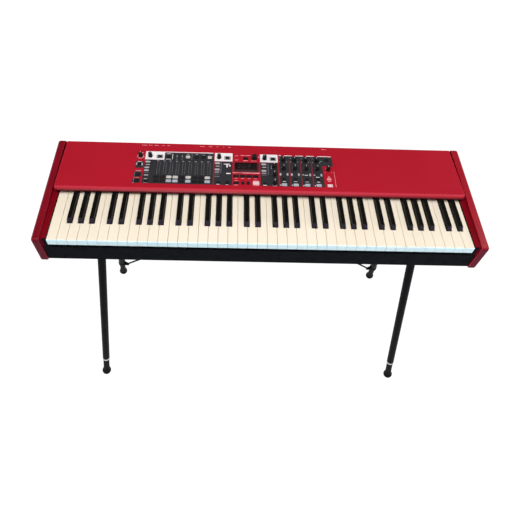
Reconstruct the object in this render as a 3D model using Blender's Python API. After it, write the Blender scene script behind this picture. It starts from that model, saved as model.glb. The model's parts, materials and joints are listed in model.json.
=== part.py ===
# Stage piano with 73 keys on a splayed four-legged stand.
# Metres, +Z up, +X to the player's right, +Y away from the player.
# The origin is on the floor, midway between the four feet.
# Shapes are drawn in the body's own frame: X from the middle, Y back from the
# cheeks' front faces, Z up from the underside. body_to_world() moves them.

import math

import bmesh
import bpy
from mathutils import Matrix, Vector

# Clearances
SEAT_GAP = 0.0003          # between a piece and what carries it
SIDE_GAP = 0.0004          # round a button or a spindle in its hole

# Case
BODY_DEPTH = 0.317
UNDERSIDE_HEIGHT = 0.655   # the case's underside above the floor
CHEEK_THICKNESS = 0.0198
CHEEK_FRONT_HEIGHT = 0.0865
CHEEK_BACK_HEIGHT = 0.1010
CHEEK_OUTER_RADIUS = 0.0065
CHEEK_INNER_RADIUS = 0.0015
CHEEK_CORNER_RADIUS = 0.007
GROOVE_WIDTH = 0.001
GROOVE_DEPTH = 0.0015
LEDGE_TOP = 0.0845         # the cheek's inner ledge beside the keys
LEDGE_WIDTH = 0.01425
LEDGE_EDGE_RADIUS = 0.0015
SHEET = 0.0016             # the folded top panel
PAN_SHEET = 0.0016
REAR_SHEET = 0.002
PAN_FLANGE = 0.030
PANEL_TOP = 0.0995
PANEL_LIP_BOTTOM = 0.0942
PANEL_LIP_EDGE = 0.0934    # the lip runs straight down to here
PANEL_FRONT = 0.145
PANEL_BACK = 0.3155
PANEL_NOSE_RUN = 0.0145    # how far the nose's curve runs in from the front
PANEL_SIDE_RUN = 0.003
PANEL_BACK_RUN = 0.003
PANEL_FRONT_CORNER = (0.010, 0.0155)
PANEL_BACK_CORNER = (0.0034, 0.0034)
PANEL_WALL_START = 0.002   # from a front corner to where the side wall reaches its full depth
PANEL_END_GAP = 0.0065     # dark groove between the panel and a cheek
GROOVE_STOP = (0.010, 0.0975)  # block that closes that groove at the back: its length and top
SLIP_FRONT = 0.005
SLIP_THICKNESS = 0.013
SLIP_HEIGHT = 0.050
SLIP_EDGE_RADIUS = 0.002
SLIP_POST = 0.0015
SLIP_POST_WIDTH = 0.009

# Keyboard
NATURAL_COUNT = 43
KEY_PITCH = 0.0235
KEY_GAP = 0.0010
KEY_FRONT = 0.0035
NATURAL_TOP = 0.082
NATURAL_DEPTH = 0.016
NATURAL_LIP = 0.018        # height of the front face
NATURAL_LIP_THICKNESS = 0.004
NATURAL_NOSE_RADIUS = 0.0018
NATURAL_END = 0.158        # the full-height part stops under the panel
SHARP_SETBACK = 0.0512
SHARP_WIDTH = 0.012
SHARP_TOP_WIDTH = 0.0098
SHARP_RISE = 0.0108
SHARP_FRONT_SLOPE = 0.0065
SHARP_END = 0.156
SHARP_EDGE = 0.0007
SHARP_NOTCH_GAP = 0.0012
SHARP_OFFSETS = {1: -0.0020, 3: 0.0020, 6: -0.0029, 8: 0.0, 10: 0.0029}
TAIL_HEIGHT = 0.012
TAIL_BOTTOM = 0.058
NATURAL_TAIL_WIDTH = 0.011
SHARP_TAIL_WIDTH = 0.007
SHARP_TAIL_LIFT = 0.0025
KEY_HINGE_Y = 0.250
KEY_TAIL_END = 0.256
HINGE_WALL = 0.002
STOP_WALL_Y = 0.033
STOP_WALL = 0.002
TRAY_MARGIN = 0.006        # the key frame's tray runs on past its walls
FRAME_SHEET = 0.0012
STOP_WALL_TOP = 0.0560
NATURAL_RAIL_Y = 0.234
NATURAL_RAIL_WIDTH = 0.012
NATURAL_RAIL_HEIGHT = 0.011
SHARP_RAIL_Y = 0.236
SHARP_RAIL_WIDTH = 0.008
SHARP_RAIL_HEIGHT = 0.005
RAIL_BITE = 0.001
LOWEST_NOTE = 4            # E, counted in semitones from C
MOVING_OCTAVE = 3          # octaves above the lowest C that the hinged keys lie

# Control panel
BOARD_THICKNESS = 0.0016
BOARD_Z = 0.0835
BOARD_MARGIN = 0.008
BOARD_POST_COLUMNS = (-0.3164, -0.2022, -0.1526, 0.1601)
MAT_THICKNESS = 0.0012
BUTTON_RISE = 0.0014
BUTTON_TRAVEL = 0.0007
SWITCH_CLEAR = 0.0003
SWITCH_HALF = 0.003
POT_SIZE = (0.0096, 0.0112)
KNOB_RADIUS = 0.0058
KNOB_TOP_RADIUS = 0.0048
KNOB_HEIGHT = 0.0125
KNOB_SKIRT = 0.0022        # upright part at the knob's foot
KNOB_EDGE = 0.0007
KNOB_LIFT = 0.0008
DIAL_RADIUS = 0.0068
DIAL_TOP_RADIUS = 0.0061
SPINDLE_RADIUS = 0.003
KNOB_SIDES = 12
HOLE_SIDES = 8
CONTROLS_LEFT = -0.3243
CONTROLS_RIGHT = 0.1909
CONTROLS_FRONT = 0.1685
CONTROLS_BACK = 0.2835
HEADER_ROW = 0.2645        # rows are measured from the front, columns from the middle
LOWER_ROW = 0.1785
MASTER_COLUMN = -0.3149
MASTER_ROWS = (0.2365, 0.1995, 0.1785)
LEVEL_COLUMNS = (-0.2896, -0.1095, 0.0102)
SECTION_COLUMNS = (-0.2648, -0.0871, 0.0325)
PRESET_COLUMNS = (-0.2419, -0.1913, -0.1685, -0.1506, -0.1337)
SELECT_COLUMNS = (-0.2916, -0.1099, 0.0092)
ROUND_CAP_COLUMN = -0.0871
PROGRAM_COLUMN = -0.0394
DIAL_COLUMN = -0.0166
STORE_COLUMN = -0.0136
ARROW_COLUMNS = (-0.0469, -0.0335)
SOFT_ROW = 0.2015
SYNTH_COLUMN = 0.0340
SYNTH_PITCH = 0.028
EFFECT_BUTTON_ROWS = (0.1955, 0.1755)
REVERB_COLUMN = 0.1750
SOFT_BUTTON_COLUMN = -0.0643
SOFT_BUTTON_PITCH = 0.0166
SOFT_BUTTON_COUNT = 4
SECTION_BUTTON_SIZE = (0.011, 0.008)
SMALL_CAP = (0.010, 0.007)
SQUARE_CAP = (0.011, 0.009)
WIDE_CAP = (0.0125, 0.0085)
OVAL_CAP = (0.008, 0.0105)
ROUND_CAP = (0.011, 0.011)
EFFECT_COLUMN = 0.0588
EFFECT_PITCH = 0.0293
EFFECT_COUNT = 4
EFFECT_ROWS = (0.2585, 0.2295)
LADDER_COLUMN = -0.2678
LADDER_PITCH = 0.0163
LADDER_COUNT = 9
LADDER_ROWS = (0.1925, 0.1795)
LADDER_LIGHT_ROW = 0.2240
LADDER_LIGHT = (0.0036, 0.0436)
LADDER_LIGHT_DROP = 0.0005
DISPLAY_CENTRE = (-0.0389, 0.2360)
DISPLAY_SIZE = (0.057, 0.026)
DISPLAY_RISE = 0.0004

# Back panel sockets
SOCKET_HEIGHT = 0.045
SOCKET_DEPTH = 0.014
SOCKET_WALL = 0.003
JACK_RADIUS = 0.0036
JACK_COLLAR = 0.0062
JACK_COLLAR_RISE = 0.0015
COLLAR_SIDES = 12
JACK_PLACES = (-0.200, -0.095, -0.060, 0.030, 0.065, 0.100)
ROUND_PLACES = (0.165, 0.200)
ROUND_RADIUS = 0.0075
ROUND_RECESS = 0.002
DATA_PLACE = 0.250
DATA_SIZE = (0.0125, 0.0115)
INLET_INSET = 0.0652       # from the rear panel's end
INLET_SIZE = (0.027, 0.020)
INLET_PIN = (0.002, 0.004)
INLET_PIN_LENGTH = 0.010
INLET_PIN_SPOTS = ((-0.007, -0.001), (0.007, -0.001), (0.0, -0.0055))
SWITCH_SPACING = 0.040     # from the inlet to the power switch
SWITCH_SIZE = (0.0125, 0.0215)
SWITCH_TILT = 8.0          # degrees either side of level
ROCKER_DEPTH = 0.005
ROCKER_RISE = 0.0022
ROCKER_DISH = 0.001        # hollow across the rocker's face
ROCKER_HEEL = 0.0059       # half height of the rocker's narrow inner end
ROCKER_PIVOT_DEPTH = 0.0025

# Stand
LEG_INSET = (0.1323, 0.0840)  # from the case's end and from its front or back to a leg's axis
LEG_SPLAY = (0.0826, 0.1254)
LEG_RADIUS = 0.0111
LEG_BORE = 0.0095
LEG_SIDES = 12
LEG_CAP = 0.004
SPIGOT_RADIUS = 0.006
SPIGOT_LENGTH = 0.014
PLATE_THICKNESS = 0.003
PLATE_HALF_WIDTH = 0.036
PLATE_MARGIN = 0.040
BOSS_RADIUS = 0.017
BOSS_LENGTH = 0.024
FOOT_RADIUS = 0.0145
FOOT_FLAT = 0.0015
BALL_START = -84.0         # degrees: the ball's turned outline, from its foot up to the neck
BALL_END = 33.0
BALL_RINGS = 6
SLEEVE_RADIUS = 0.0098
SLEEVE_NECK = 0.0106
SLEEVE_LENGTH = 0.070      # from the ball's centre up to the leg's end
SLEEVE_FLARE = 0.012       # the sleeve narrows over this much above the ball
NECK_RISE = 0.003
FOOT_TRAVEL = 0.020
FOOT_GRIP = 0.035          # stem left in the leg with the foot drawn right out
CLAMP_HEIGHT = 0.016
CLAMP_RADIUS = 0.0150
CLAMP_ABOVE_END = 0.012
CLAMP_LUG = 0.014
CLAMP_LUG_RADIUS = 0.0072
LUG_TIP_RADIUS = 0.0042
BRACE_RADIUS = 0.003
BRACKET_SIZE = (0.060, 0.036, 0.026)
BRACKET_WEB_HEIGHT = 0.0156
BRACKET_Y = 0.150
BRACE_SPREAD = 0.018
BRACE_DROP = 0.012

FINISHES = {
    "panel_red": ((0.42, 0.010, 0.022), 0.38, 0.0),
    "cheek_red": ((0.27, 0.005, 0.013), 0.34, 0.0),
    "case_black": ((0.012, 0.012, 0.014), 0.55, 0.0),
    "key_cream": ((0.86, 0.80, 0.68), 0.30, 0.0),
    "key_black": ((0.010, 0.010, 0.011), 0.42, 0.0),
    "frame_steel": ((0.42, 0.43, 0.45), 0.42, 0.9),
    "board_green": ((0.03, 0.11, 0.05), 0.60, 0.0),
    "button_grey": ((0.10, 0.10, 0.11), 0.50, 0.0),
    "knob_black": ((0.014, 0.014, 0.016), 0.45, 0.0),
    "window_dark": ((0.02, 0.008, 0.008), 0.12, 0.0),
    "stand_black": ((0.010, 0.011, 0.013), 0.36, 0.3),
    "foot_rubber": ((0.012, 0.012, 0.012), 0.80, 0.0),
}


def clear_scene():
    for item in list(bpy.data.objects):
        bpy.data.objects.remove(item, do_unlink=True)


def make_materials():
    made = {}
    for name, (colour, roughness, metallic) in FINISHES.items():
        material = bpy.data.materials.new(name)
        material.use_nodes = True
        shader = material.node_tree.nodes["Principled BSDF"]
        shader.inputs["Base Color"].default_value = (*colour, 1.0)
        shader.inputs["Roughness"].default_value = roughness
        shader.inputs["Metallic"].default_value = metallic
        material.diffuse_color = (*colour, 1.0)
        made[name] = material
    return made


def body_to_world(point):
    x, y, z = point
    return Vector((x, y - BODY_DEPTH / 2, z + UNDERSIDE_HEIGHT))


# Solids are (points, faces) pairs in the body frame.

def prism_x(outline, low, high):
    """Extrude a (y, z) outline along X."""
    count = len(outline)
    points = [(low, y, z) for y, z in outline] + [(high, y, z) for y, z in outline]
    faces = [tuple(range(count)), tuple(range(2 * count - 1, count - 1, -1))]
    faces += [(i, i + count, (i + 1) % count + count, (i + 1) % count) for i in range(count)]
    return points, faces


def box(low, high):
    (x0, y0, z0), (x1, y1, z1) = low, high
    return prism_x([(y0, z0), (y1, z0), (y1, z1), (y0, z1)], x0, x1)


def block(centre, size, bottom, top):
    """An upright box from its centre (x, y), its size (x, y) and two heights."""
    x, y = centre
    half_x, half_y = size[0] / 2, size[1] / 2
    return box((x - half_x, y - half_y, bottom), (x + half_x, y + half_y, top))


def lathe(profile, sides, turn=0.0):
    """Turn (radius, z) pairs round Z; the ends close on the axis."""
    points = []
    for radius, z in profile:
        for step in range(sides):
            angle = turn + 2 * math.pi * (step + 0.5) / sides
            points.append((radius * math.cos(angle), radius * math.sin(angle), z))
    faces = []
    for ring in range(len(profile) - 1):
        for step in range(sides):
            after = (step + 1) % sides
            low, high = ring * sides, (ring + 1) * sides
            faces.append((low + step, low + after, high + after, high + step))
    last = (len(profile) - 1) * sides
    faces.append(tuple(range(sides)))
    faces.append(tuple(range(last + sides - 1, last - 1, -1)))
    return points, faces


def drum(centre, radius, low, high, sides=HOLE_SIDES):
    """An upright cylinder at (x, y) between two heights."""
    points, faces = lathe([(radius, low), (radius, high)], sides)
    return [(x + centre[0], y + centre[1], z) for x, y, z in points], faces


def drum_y(centre, radius, front, back, sides=HOLE_SIDES):
    """A cylinder along Y at (x, z)."""
    points, faces = lathe([(radius, front), (radius, back)], sides)
    return [(x + centre[0], z, y + centre[1]) for x, y, z in points], faces


def moved(solid, matrix):
    points, faces = solid
    return [tuple(matrix @ Vector(point)) for point in points], faces


def joined(solids):
    points, faces = [], []
    for more_points, more_faces in solids:
        start = len(points)
        points += more_points
        faces += [tuple(index + start for index in face) for face in more_faces]
    return points, faces


def arc(centre, radius, start, end, steps):
    """Points on a circle in the (y, z) plane, angles in degrees; radius may be a pair."""
    radius_y, radius_z = radius if isinstance(radius, tuple) else (radius, radius)
    points = []
    for step in range(steps + 1):
        angle = math.radians(start + (end - start) * step / steps)
        points.append((centre[0] + radius_y * math.cos(angle), centre[1] + radius_z * math.sin(angle)))
    return points


def mesh_from(name, solid, origin):
    points, faces = solid
    mesh = bpy.data.meshes.new(name)
    mesh.from_pydata([Vector(point) - Vector(origin) for point in points], [], faces)
    shape = bmesh.new()
    shape.from_mesh(mesh)
    bmesh.ops.recalc_face_normals(shape, faces=shape.faces)
    shape.to_mesh(mesh)
    shape.free()
    return mesh


def add_helper(name, solid, origin):
    helper = bpy.data.objects.new(name, mesh_from(name, solid, origin))
    helper.location = body_to_world(origin)
    helper.hide_render = True
    helper.display_type = "WIRE"
    bpy.context.collection.objects.link(helper)
    return helper


def add_piece(name, solid, material, origin=(0.0, 0.0, 0.0), steps=(), smooth=False):
    """One sub-part; steps are ("UNION" or "DIFFERENCE", solid) worked in order."""
    piece = bpy.data.objects.new(name, mesh_from(name, solid, origin))
    piece.location = body_to_world(origin)
    piece.data.materials.append(material)
    bpy.context.collection.objects.link(piece)
    if smooth:
        piece.data.shade_smooth()
        piece.data.set_sharp_from_angle(angle=math.radians(35))
    for number, (operation, other) in enumerate(steps):
        helper = add_helper(f"{name}_{operation.lower()}_{number}", other, origin)
        modifier = piece.modifiers.new(f"{operation.lower()} {number}", "BOOLEAN")
        modifier.operation = operation
        modifier.solver = "EXACT"
        modifier.object = helper
    return piece


# Case

KEYS_HALF = NATURAL_COUNT * KEY_PITCH / 2
LEDGE_INNER = KEYS_HALF + KEY_GAP
INNER_HALF = LEDGE_INNER + LEDGE_WIDTH
BODY_WIDTH = 2 * (INNER_HALF + CHEEK_THICKNESS)
PANEL_HALF = INNER_HALF - PANEL_END_GAP
REAR_HALF = INNER_HALF - SEAT_GAP
INLET_PLACE = REAR_HALF - INLET_INSET
SWITCH_PLACE = INLET_PLACE - SWITCH_SPACING


def cheek_outline(inset):
    """The cheek's side view, drawn in by inset all round."""
    radius = CHEEK_CORNER_RADIUS - inset / 2
    small = CHEEK_CORNER_RADIUS / 2 - inset / 3
    front, back = inset, BODY_DEPTH - inset
    points = arc((front + small, inset + small), small, 270, 180, 2)
    points += arc((front + radius, CHEEK_FRONT_HEIGHT - inset - radius), radius, 180, 90, 4)
    points += arc((back - radius, CHEEK_BACK_HEIGHT - inset - radius), radius, 90, 0, 4)
    points += arc((back - small, inset + small), small, 0, -90, 2)
    return points


def cheek_slab(side):
    """A board with a well rounded outer edge and a slightly eased inner one."""
    outer, inner = side * BODY_WIDTH / 2, side * INNER_HALF
    rings = []
    for share in (1.0, 0.62, 0.29, 0.08, 0.0):
        angle = math.acos(1 - share)
        rings.append((outer - side * CHEEK_OUTER_RADIUS * (1 - math.sin(angle)), CHEEK_OUTER_RADIUS * share))
    rings += [(inner + side * CHEEK_INNER_RADIUS, 0.0), (inner, CHEEK_INNER_RADIUS)]
    points, faces = [], []
    for x, inset in rings:
        points += [(x, y, z) for y, z in cheek_outline(inset)]
    count = len(points) // len(rings)
    for ring in range(len(rings) - 1):
        start = ring * count
        faces += [(start + i, start + (i + 1) % count, start + (i + 1) % count + count, start + i + count)
                  for i in range(count)]
    last = len(points) - count
    return points, [*faces, tuple(range(count)), tuple(range(last + count - 1, last - 1, -1))]


def add_cheek(name, side, material):
    inner = side * INNER_HALF
    ledge_front = SLIP_FRONT + SLIP_POST + SEAT_GAP
    ledge_back = BODY_DEPTH - REAR_SHEET - SEAT_GAP
    radius = LEDGE_EDGE_RADIUS
    profile = [(ledge_back, SLIP_HEIGHT + SEAT_GAP), (ledge_front, SLIP_HEIGHT + SEAT_GAP)]
    profile += arc((ledge_front + radius, LEDGE_TOP - radius), radius, 180, 90, 3)
    profile.append((ledge_back, LEDGE_TOP))
    ledge_inner = side * LEDGE_INNER
    overlap = side * (INNER_HALF + CHEEK_THICKNESS / 2)
    ledge = prism_x(profile, min(ledge_inner, overlap), max(ledge_inner, overlap))
    groove_in = side * (INNER_HALF - GROOVE_WIDTH)
    groove = box((min(groove_in, inner), -GROOVE_DEPTH, LEDGE_TOP - GROOVE_DEPTH),
                 (max(groove_in, inner), BODY_DEPTH, PANEL_TOP))
    stop_length, stop_top = GROOVE_STOP
    stop_inner = side * (PANEL_HALF + 2 * SEAT_GAP)
    stop = box((min(stop_inner, overlap), ledge_back - stop_length, LEDGE_TOP - LEDGE_EDGE_RADIUS),
               (max(stop_inner, overlap), ledge_back - SEAT_GAP, stop_top))
    return add_piece(name, cheek_slab(side), material,
                     steps=[("UNION", ledge), ("DIFFERENCE", groove), ("UNION", stop)])


def panel_ring(level, inset):
    """One ring of the sheet, seen from above: level 0 is the lip, 1 the flat top, below 0 the foot."""
    angle = math.radians(90 * max(level, 0.0))
    front, side, back = (inset + (run - inset) * (1 - math.cos(angle))
                         for run in (PANEL_NOSE_RUN, PANEL_SIDE_RUN, PANEL_BACK_RUN))
    height = PANEL_LIP_BOTTOM + (PANEL_TOP - inset - PANEL_LIP_BOTTOM) * math.sin(angle)
    lip, wall = (height, height) if level >= 0 else (PANEL_LIP_EDGE, LEDGE_TOP + SEAT_GAP)
    (corner_x, corner_y), (heel_x, heel_y) = PANEL_FRONT_CORNER, PANEL_BACK_CORNER
    heel = arc((PANEL_HALF - heel_x, PANEL_BACK - heel_y), (heel_x - side, heel_y - back), 90, 0, 3)
    nose = arc((PANEL_HALF - corner_x, PANEL_FRONT + corner_y),
               (corner_x - side, corner_y - front), 0, -90, 5)
    half = [(x, y, wall) for x, y in heel]
    half.append((nose[0][0], nose[0][1] + PANEL_WALL_START, wall))
    half += [(x, y, lip) for x, y in nose]
    return half + [(-x, y, z) for x, y, z in reversed(half)]


def panel_shell():
    """The sheet with its turned-down edges, open below."""
    levels = (-1, 0, 0.25, 0.5, 0.75, 1)
    rings = [panel_ring(level, inset) for inset in (0.0, SHEET) for level in levels]
    count = len(rings[0])
    points = [point for ring in rings for point in ring]
    faces = []
    for ring in range(len(rings) - 1):
        if ring == len(levels) - 1:
            continue
        start = ring * count
        faces += [(start + i, start + (i + 1) % count, start + (i + 1) % count + count, start + i + count)
                  for i in range(count)]
    inner = len(levels) * count
    faces += [(i, (i + 1) % count, (i + 1) % count + inner, i + inner) for i in range(count)]
    for last in (inner - count, len(points) - count):
        faces.append(tuple(range(last, last + count)))
    return points, faces


def knob_places():
    places = {"master_level_knob": (MASTER_COLUMN, HEADER_ROW)}
    for section, x in zip(("organ", "piano", "synth"), LEVEL_COLUMNS):
        places[f"{section}_level_knob"] = (x, HEADER_ROW)
    for number, setting in enumerate(("filter", "release", "attack")):
        places[f"synth_{setting}_knob"] = (SYNTH_COLUMN, LOWER_ROW + number * SYNTH_PITCH)
    for column in range(EFFECT_COUNT):
        x = EFFECT_COLUMN + column * EFFECT_PITCH
        places[f"effect_{column + 1}_rate_knob"] = (x, EFFECT_ROWS[0])
        places[f"effect_{column + 1}_amount_knob"] = (x, EFFECT_ROWS[1])
    places["reverb_knob"] = (REVERB_COLUMN, EFFECT_ROWS[1])
    return places


DIAL_PLACE = (DIAL_COLUMN, HEADER_ROW)
SECTION_BUTTONS = {f"{section}_on_button": (x, HEADER_ROW)
                   for section, x in zip(("organ", "piano", "synth"), SECTION_COLUMNS)}


def fixed_buttons():
    """(place, size) of each cap on the rubber mat, from the player's left to the right."""
    caps = [((MASTER_COLUMN, y), SQUARE_CAP) for y in MASTER_ROWS]
    caps += [((x, HEADER_ROW), SQUARE_CAP) for x in PRESET_COLUMNS]
    caps += [((x, LOWER_ROW), SMALL_CAP) for x in SELECT_COLUMNS]
    caps.append(((ROUND_CAP_COLUMN, LOWER_ROW), ROUND_CAP))
    for column in range(LADDER_COUNT):
        caps += [((LADDER_COLUMN + column * LADDER_PITCH, y), WIDE_CAP) for y in LADDER_ROWS]
    caps.append(((PROGRAM_COLUMN, HEADER_ROW), WIDE_CAP))
    caps += [((SOFT_BUTTON_COLUMN + number * SOFT_BUTTON_PITCH, SOFT_ROW), WIDE_CAP)
             for number in range(SOFT_BUTTON_COUNT)]
    caps += [((x, LOWER_ROW), WIDE_CAP) for x in (SOFT_BUTTON_COLUMN, STORE_COLUMN)]
    caps += [((x, LOWER_ROW), OVAL_CAP) for x in ARROW_COLUMNS]
    for column in range(EFFECT_COUNT):
        x = EFFECT_COLUMN + column * EFFECT_PITCH
        caps += [((x, y), cap) for y, cap in zip(EFFECT_BUTTON_ROWS, (SMALL_CAP, WIDE_CAP))]
    caps += [((REVERB_COLUMN, y), cap)
             for y, cap in ((EFFECT_BUTTON_ROWS[1], WIDE_CAP), (HEADER_ROW, SQUARE_CAP))]
    return caps


def ladder_lights():
    """Middles of the nine light bars that show through slots behind the ladder buttons."""
    return [(LADDER_COLUMN + column * LADDER_PITCH, LADDER_LIGHT_ROW) for column in range(LADDER_COUNT)]


def grown(size, gap):
    return (size[0] + 2 * gap, size[1] + 2 * gap)


def add_top_panel(material):
    low, high = PANEL_TOP - 3 * SHEET, PANEL_TOP + SHEET
    holes = [drum(place, SPINDLE_RADIUS + SIDE_GAP, low, high)
             for place in [*knob_places().values(), DIAL_PLACE]]
    holes += [block(place, grown(size, SIDE_GAP), low, high) for place, size in fixed_buttons()]
    holes += [block(place, grown(SECTION_BUTTON_SIZE, SIDE_GAP), low, high)
              for place in SECTION_BUTTONS.values()]
    holes.append(block(DISPLAY_CENTRE, grown(DISPLAY_SIZE, SEAT_GAP), low, high))
    holes += [block(place, grown(LADDER_LIGHT, SEAT_GAP), low, high) for place in ladder_lights()]
    return add_piece("top_panel", panel_shell(), material, steps=[("DIFFERENCE", joined(holes))])


MAT_TOP = PANEL_TOP - SHEET - SEAT_GAP
MAT_BOTTOM = MAT_TOP - MAT_THICKNESS
BOARD_TOP = BOARD_Z + BOARD_THICKNESS
SPINDLE_END = MAT_BOTTOM - 2 * SEAT_GAP
SECTION_BUTTON_BOTTOM = MAT_BOTTOM - MAT_THICKNESS


def add_button_mat(material):
    mat = box((CONTROLS_LEFT, CONTROLS_FRONT, MAT_BOTTOM), (CONTROLS_RIGHT, CONTROLS_BACK, MAT_TOP))
    caps = joined([block(place, size, MAT_BOTTOM + MAT_THICKNESS / 3, PANEL_TOP + BUTTON_RISE)
                   for place, size in fixed_buttons()])
    low, high = MAT_BOTTOM - MAT_THICKNESS, MAT_TOP + MAT_THICKNESS
    holes = [drum(place, SPINDLE_RADIUS + SIDE_GAP, low, high)
             for place in [*knob_places().values(), DIAL_PLACE]]
    holes += [block(place, grown(SECTION_BUTTON_SIZE, SIDE_GAP), low, high)
              for place in SECTION_BUTTONS.values()]
    holes.append(block(DISPLAY_CENTRE, grown(DISPLAY_SIZE, SIDE_GAP), low, high))
    holes += [block(place, grown(LADDER_LIGHT, SIDE_GAP), low, high) for place in ladder_lights()]
    return add_piece("button_mat", mat, material,
                     steps=[("UNION", caps), ("DIFFERENCE", joined(holes))])


def add_main_board(material):
    board = box((CONTROLS_LEFT - BOARD_MARGIN, CONTROLS_FRONT - BOARD_MARGIN / 2, BOARD_Z),
                (CONTROLS_RIGHT + BOARD_MARGIN, CONTROLS_BACK + BOARD_MARGIN, BOARD_TOP))
    base = BOARD_Z + BOARD_THICKNESS / 2
    pots = [block(place, POT_SIZE, base, SPINDLE_END - SEAT_GAP)
            for place in [*knob_places().values(), DIAL_PLACE]]
    switch_top = SECTION_BUTTON_BOTTOM - BUTTON_TRAVEL - SWITCH_CLEAR
    switches = [block(place, (2 * SWITCH_HALF, 2 * SWITCH_HALF), base, switch_top)
                for place in SECTION_BUTTONS.values()]
    posts = [block((x, y), (SWITCH_HALF, SWITCH_HALF), base, MAT_BOTTOM - SEAT_GAP)
             for x in BOARD_POST_COLUMNS
             for y in (CONTROLS_FRONT + SWITCH_HALF, CONTROLS_BACK - SWITCH_HALF)]
    display = block(DISPLAY_CENTRE, DISPLAY_SIZE, base, MAT_BOTTOM - SEAT_GAP)
    lights = [block(place, LADDER_LIGHT, base, PANEL_TOP - LADDER_LIGHT_DROP) for place in ladder_lights()]
    return add_piece("main_board", board, material,
                     steps=[("UNION", joined([*pots, *switches, *posts, display, *lights]))])


def add_display_window(material):
    window = block(DISPLAY_CENTRE, DISPLAY_SIZE, MAT_BOTTOM, PANEL_TOP + DISPLAY_RISE)
    return add_piece("display_window", window, material)


def knob_profile(radius, top_radius):
    """Spindle, skirt and tapering grip, from the board up to the flat top."""
    foot = KNOB_LIFT
    return [
        (SPINDLE_RADIUS, SPINDLE_END - PANEL_TOP),
        (SPINDLE_RADIUS, foot),
        (radius, foot),
        (radius, foot + KNOB_SKIRT),
        (top_radius, foot + KNOB_HEIGHT - KNOB_EDGE),
        (top_radius - KNOB_EDGE, foot + KNOB_HEIGHT),
    ]


def add_knob(name, place, profile, material):
    origin = (place[0], place[1], PANEL_TOP)
    points, faces = lathe(profile, KNOB_SIDES)
    solid = ([(x + origin[0], y + origin[1], z + origin[2]) for x, y, z in points], faces)
    return add_piece(name, solid, material, origin, smooth=True)


def add_controls(materials):
    add_top_panel(materials["panel_red"])
    add_button_mat(materials["button_grey"])
    add_main_board(materials["board_green"])
    add_display_window(materials["window_dark"])
    for name, place in knob_places().items():
        add_knob(name, place, knob_profile(KNOB_RADIUS, KNOB_TOP_RADIUS), materials["knob_black"])
    add_knob("program_dial", DIAL_PLACE, knob_profile(DIAL_RADIUS, DIAL_TOP_RADIUS), materials["knob_black"])
    for name, place in SECTION_BUTTONS.items():
        cap = block(place, SECTION_BUTTON_SIZE, SECTION_BUTTON_BOTTOM, PANEL_TOP + BUTTON_RISE)
        add_piece(name, cap, materials["button_grey"], (*place, PANEL_TOP))


# Underside, front rail and back

def add_bottom_pan(material):
    width = INNER_HALF - SEAT_GAP
    front = SLIP_FRONT + SLIP_THICKNESS + SEAT_GAP
    plate = box((-width, front, 0.0), (width, BODY_DEPTH, PAN_SHEET))
    flange_front = box((-width, front, PAN_SHEET / 2), (width, front + PAN_SHEET, PAN_FLANGE))
    flanges = [flange_front]
    for side in (-1, 1):
        edge = sorted((side * width, side * (width - PAN_SHEET)))
        flanges.append(box((edge[0], front + PAN_SHEET / 2, PAN_SHEET / 2),
                           (edge[1], BODY_DEPTH - REAR_SHEET - 2 * SEAT_GAP, PAN_FLANGE)))
    return add_piece("bottom_pan", plate, material, steps=[("UNION", flange) for flange in flanges])


def add_key_slip(material):
    width = INNER_HALF - SEAT_GAP
    back = SLIP_FRONT + SLIP_THICKNESS
    radius = SLIP_EDGE_RADIUS
    profile = arc((SLIP_FRONT + radius, radius), radius, 270, 180, 2)
    profile += arc((SLIP_FRONT + radius, SLIP_HEIGHT - radius), radius, 180, 90, 2)
    profile += [(back, SLIP_HEIGHT), (back, 0.0)]
    posts = []
    for side in (-1, 1):
        edges = sorted((side * LEDGE_INNER, side * (LEDGE_INNER + SLIP_POST_WIDTH)))
        posts.append(box((edges[0], SLIP_FRONT + SEAT_GAP / 2, SLIP_HEIGHT - 2 * radius),
                         (edges[1], SLIP_FRONT + SLIP_POST, LEDGE_TOP - SLIP_POST)))
    return add_piece("key_slip", prism_x(profile, -width, width), material,
                     steps=[("UNION", joined(posts))])


def inlet_pins(outer):
    """The mains inlet's three flat blades, standing from the back of its recess."""
    width, height = INLET_PIN
    floor = outer - SOCKET_DEPTH
    return [box((INLET_PLACE + x - width / 2, floor - SOCKET_WALL / 2, SOCKET_HEIGHT + z - height / 2),
                (INLET_PLACE + x + width / 2, floor + INLET_PIN_LENGTH, SOCKET_HEIGHT + z + height / 2))
            for x, z in INLET_PIN_SPOTS]


def around(x, reach_x, reach_z, front, back):
    """A box on the sockets' centre line."""
    return box((x - reach_x, front, SOCKET_HEIGHT - reach_z), (x + reach_x, back, SOCKET_HEIGHT + reach_z))


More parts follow.
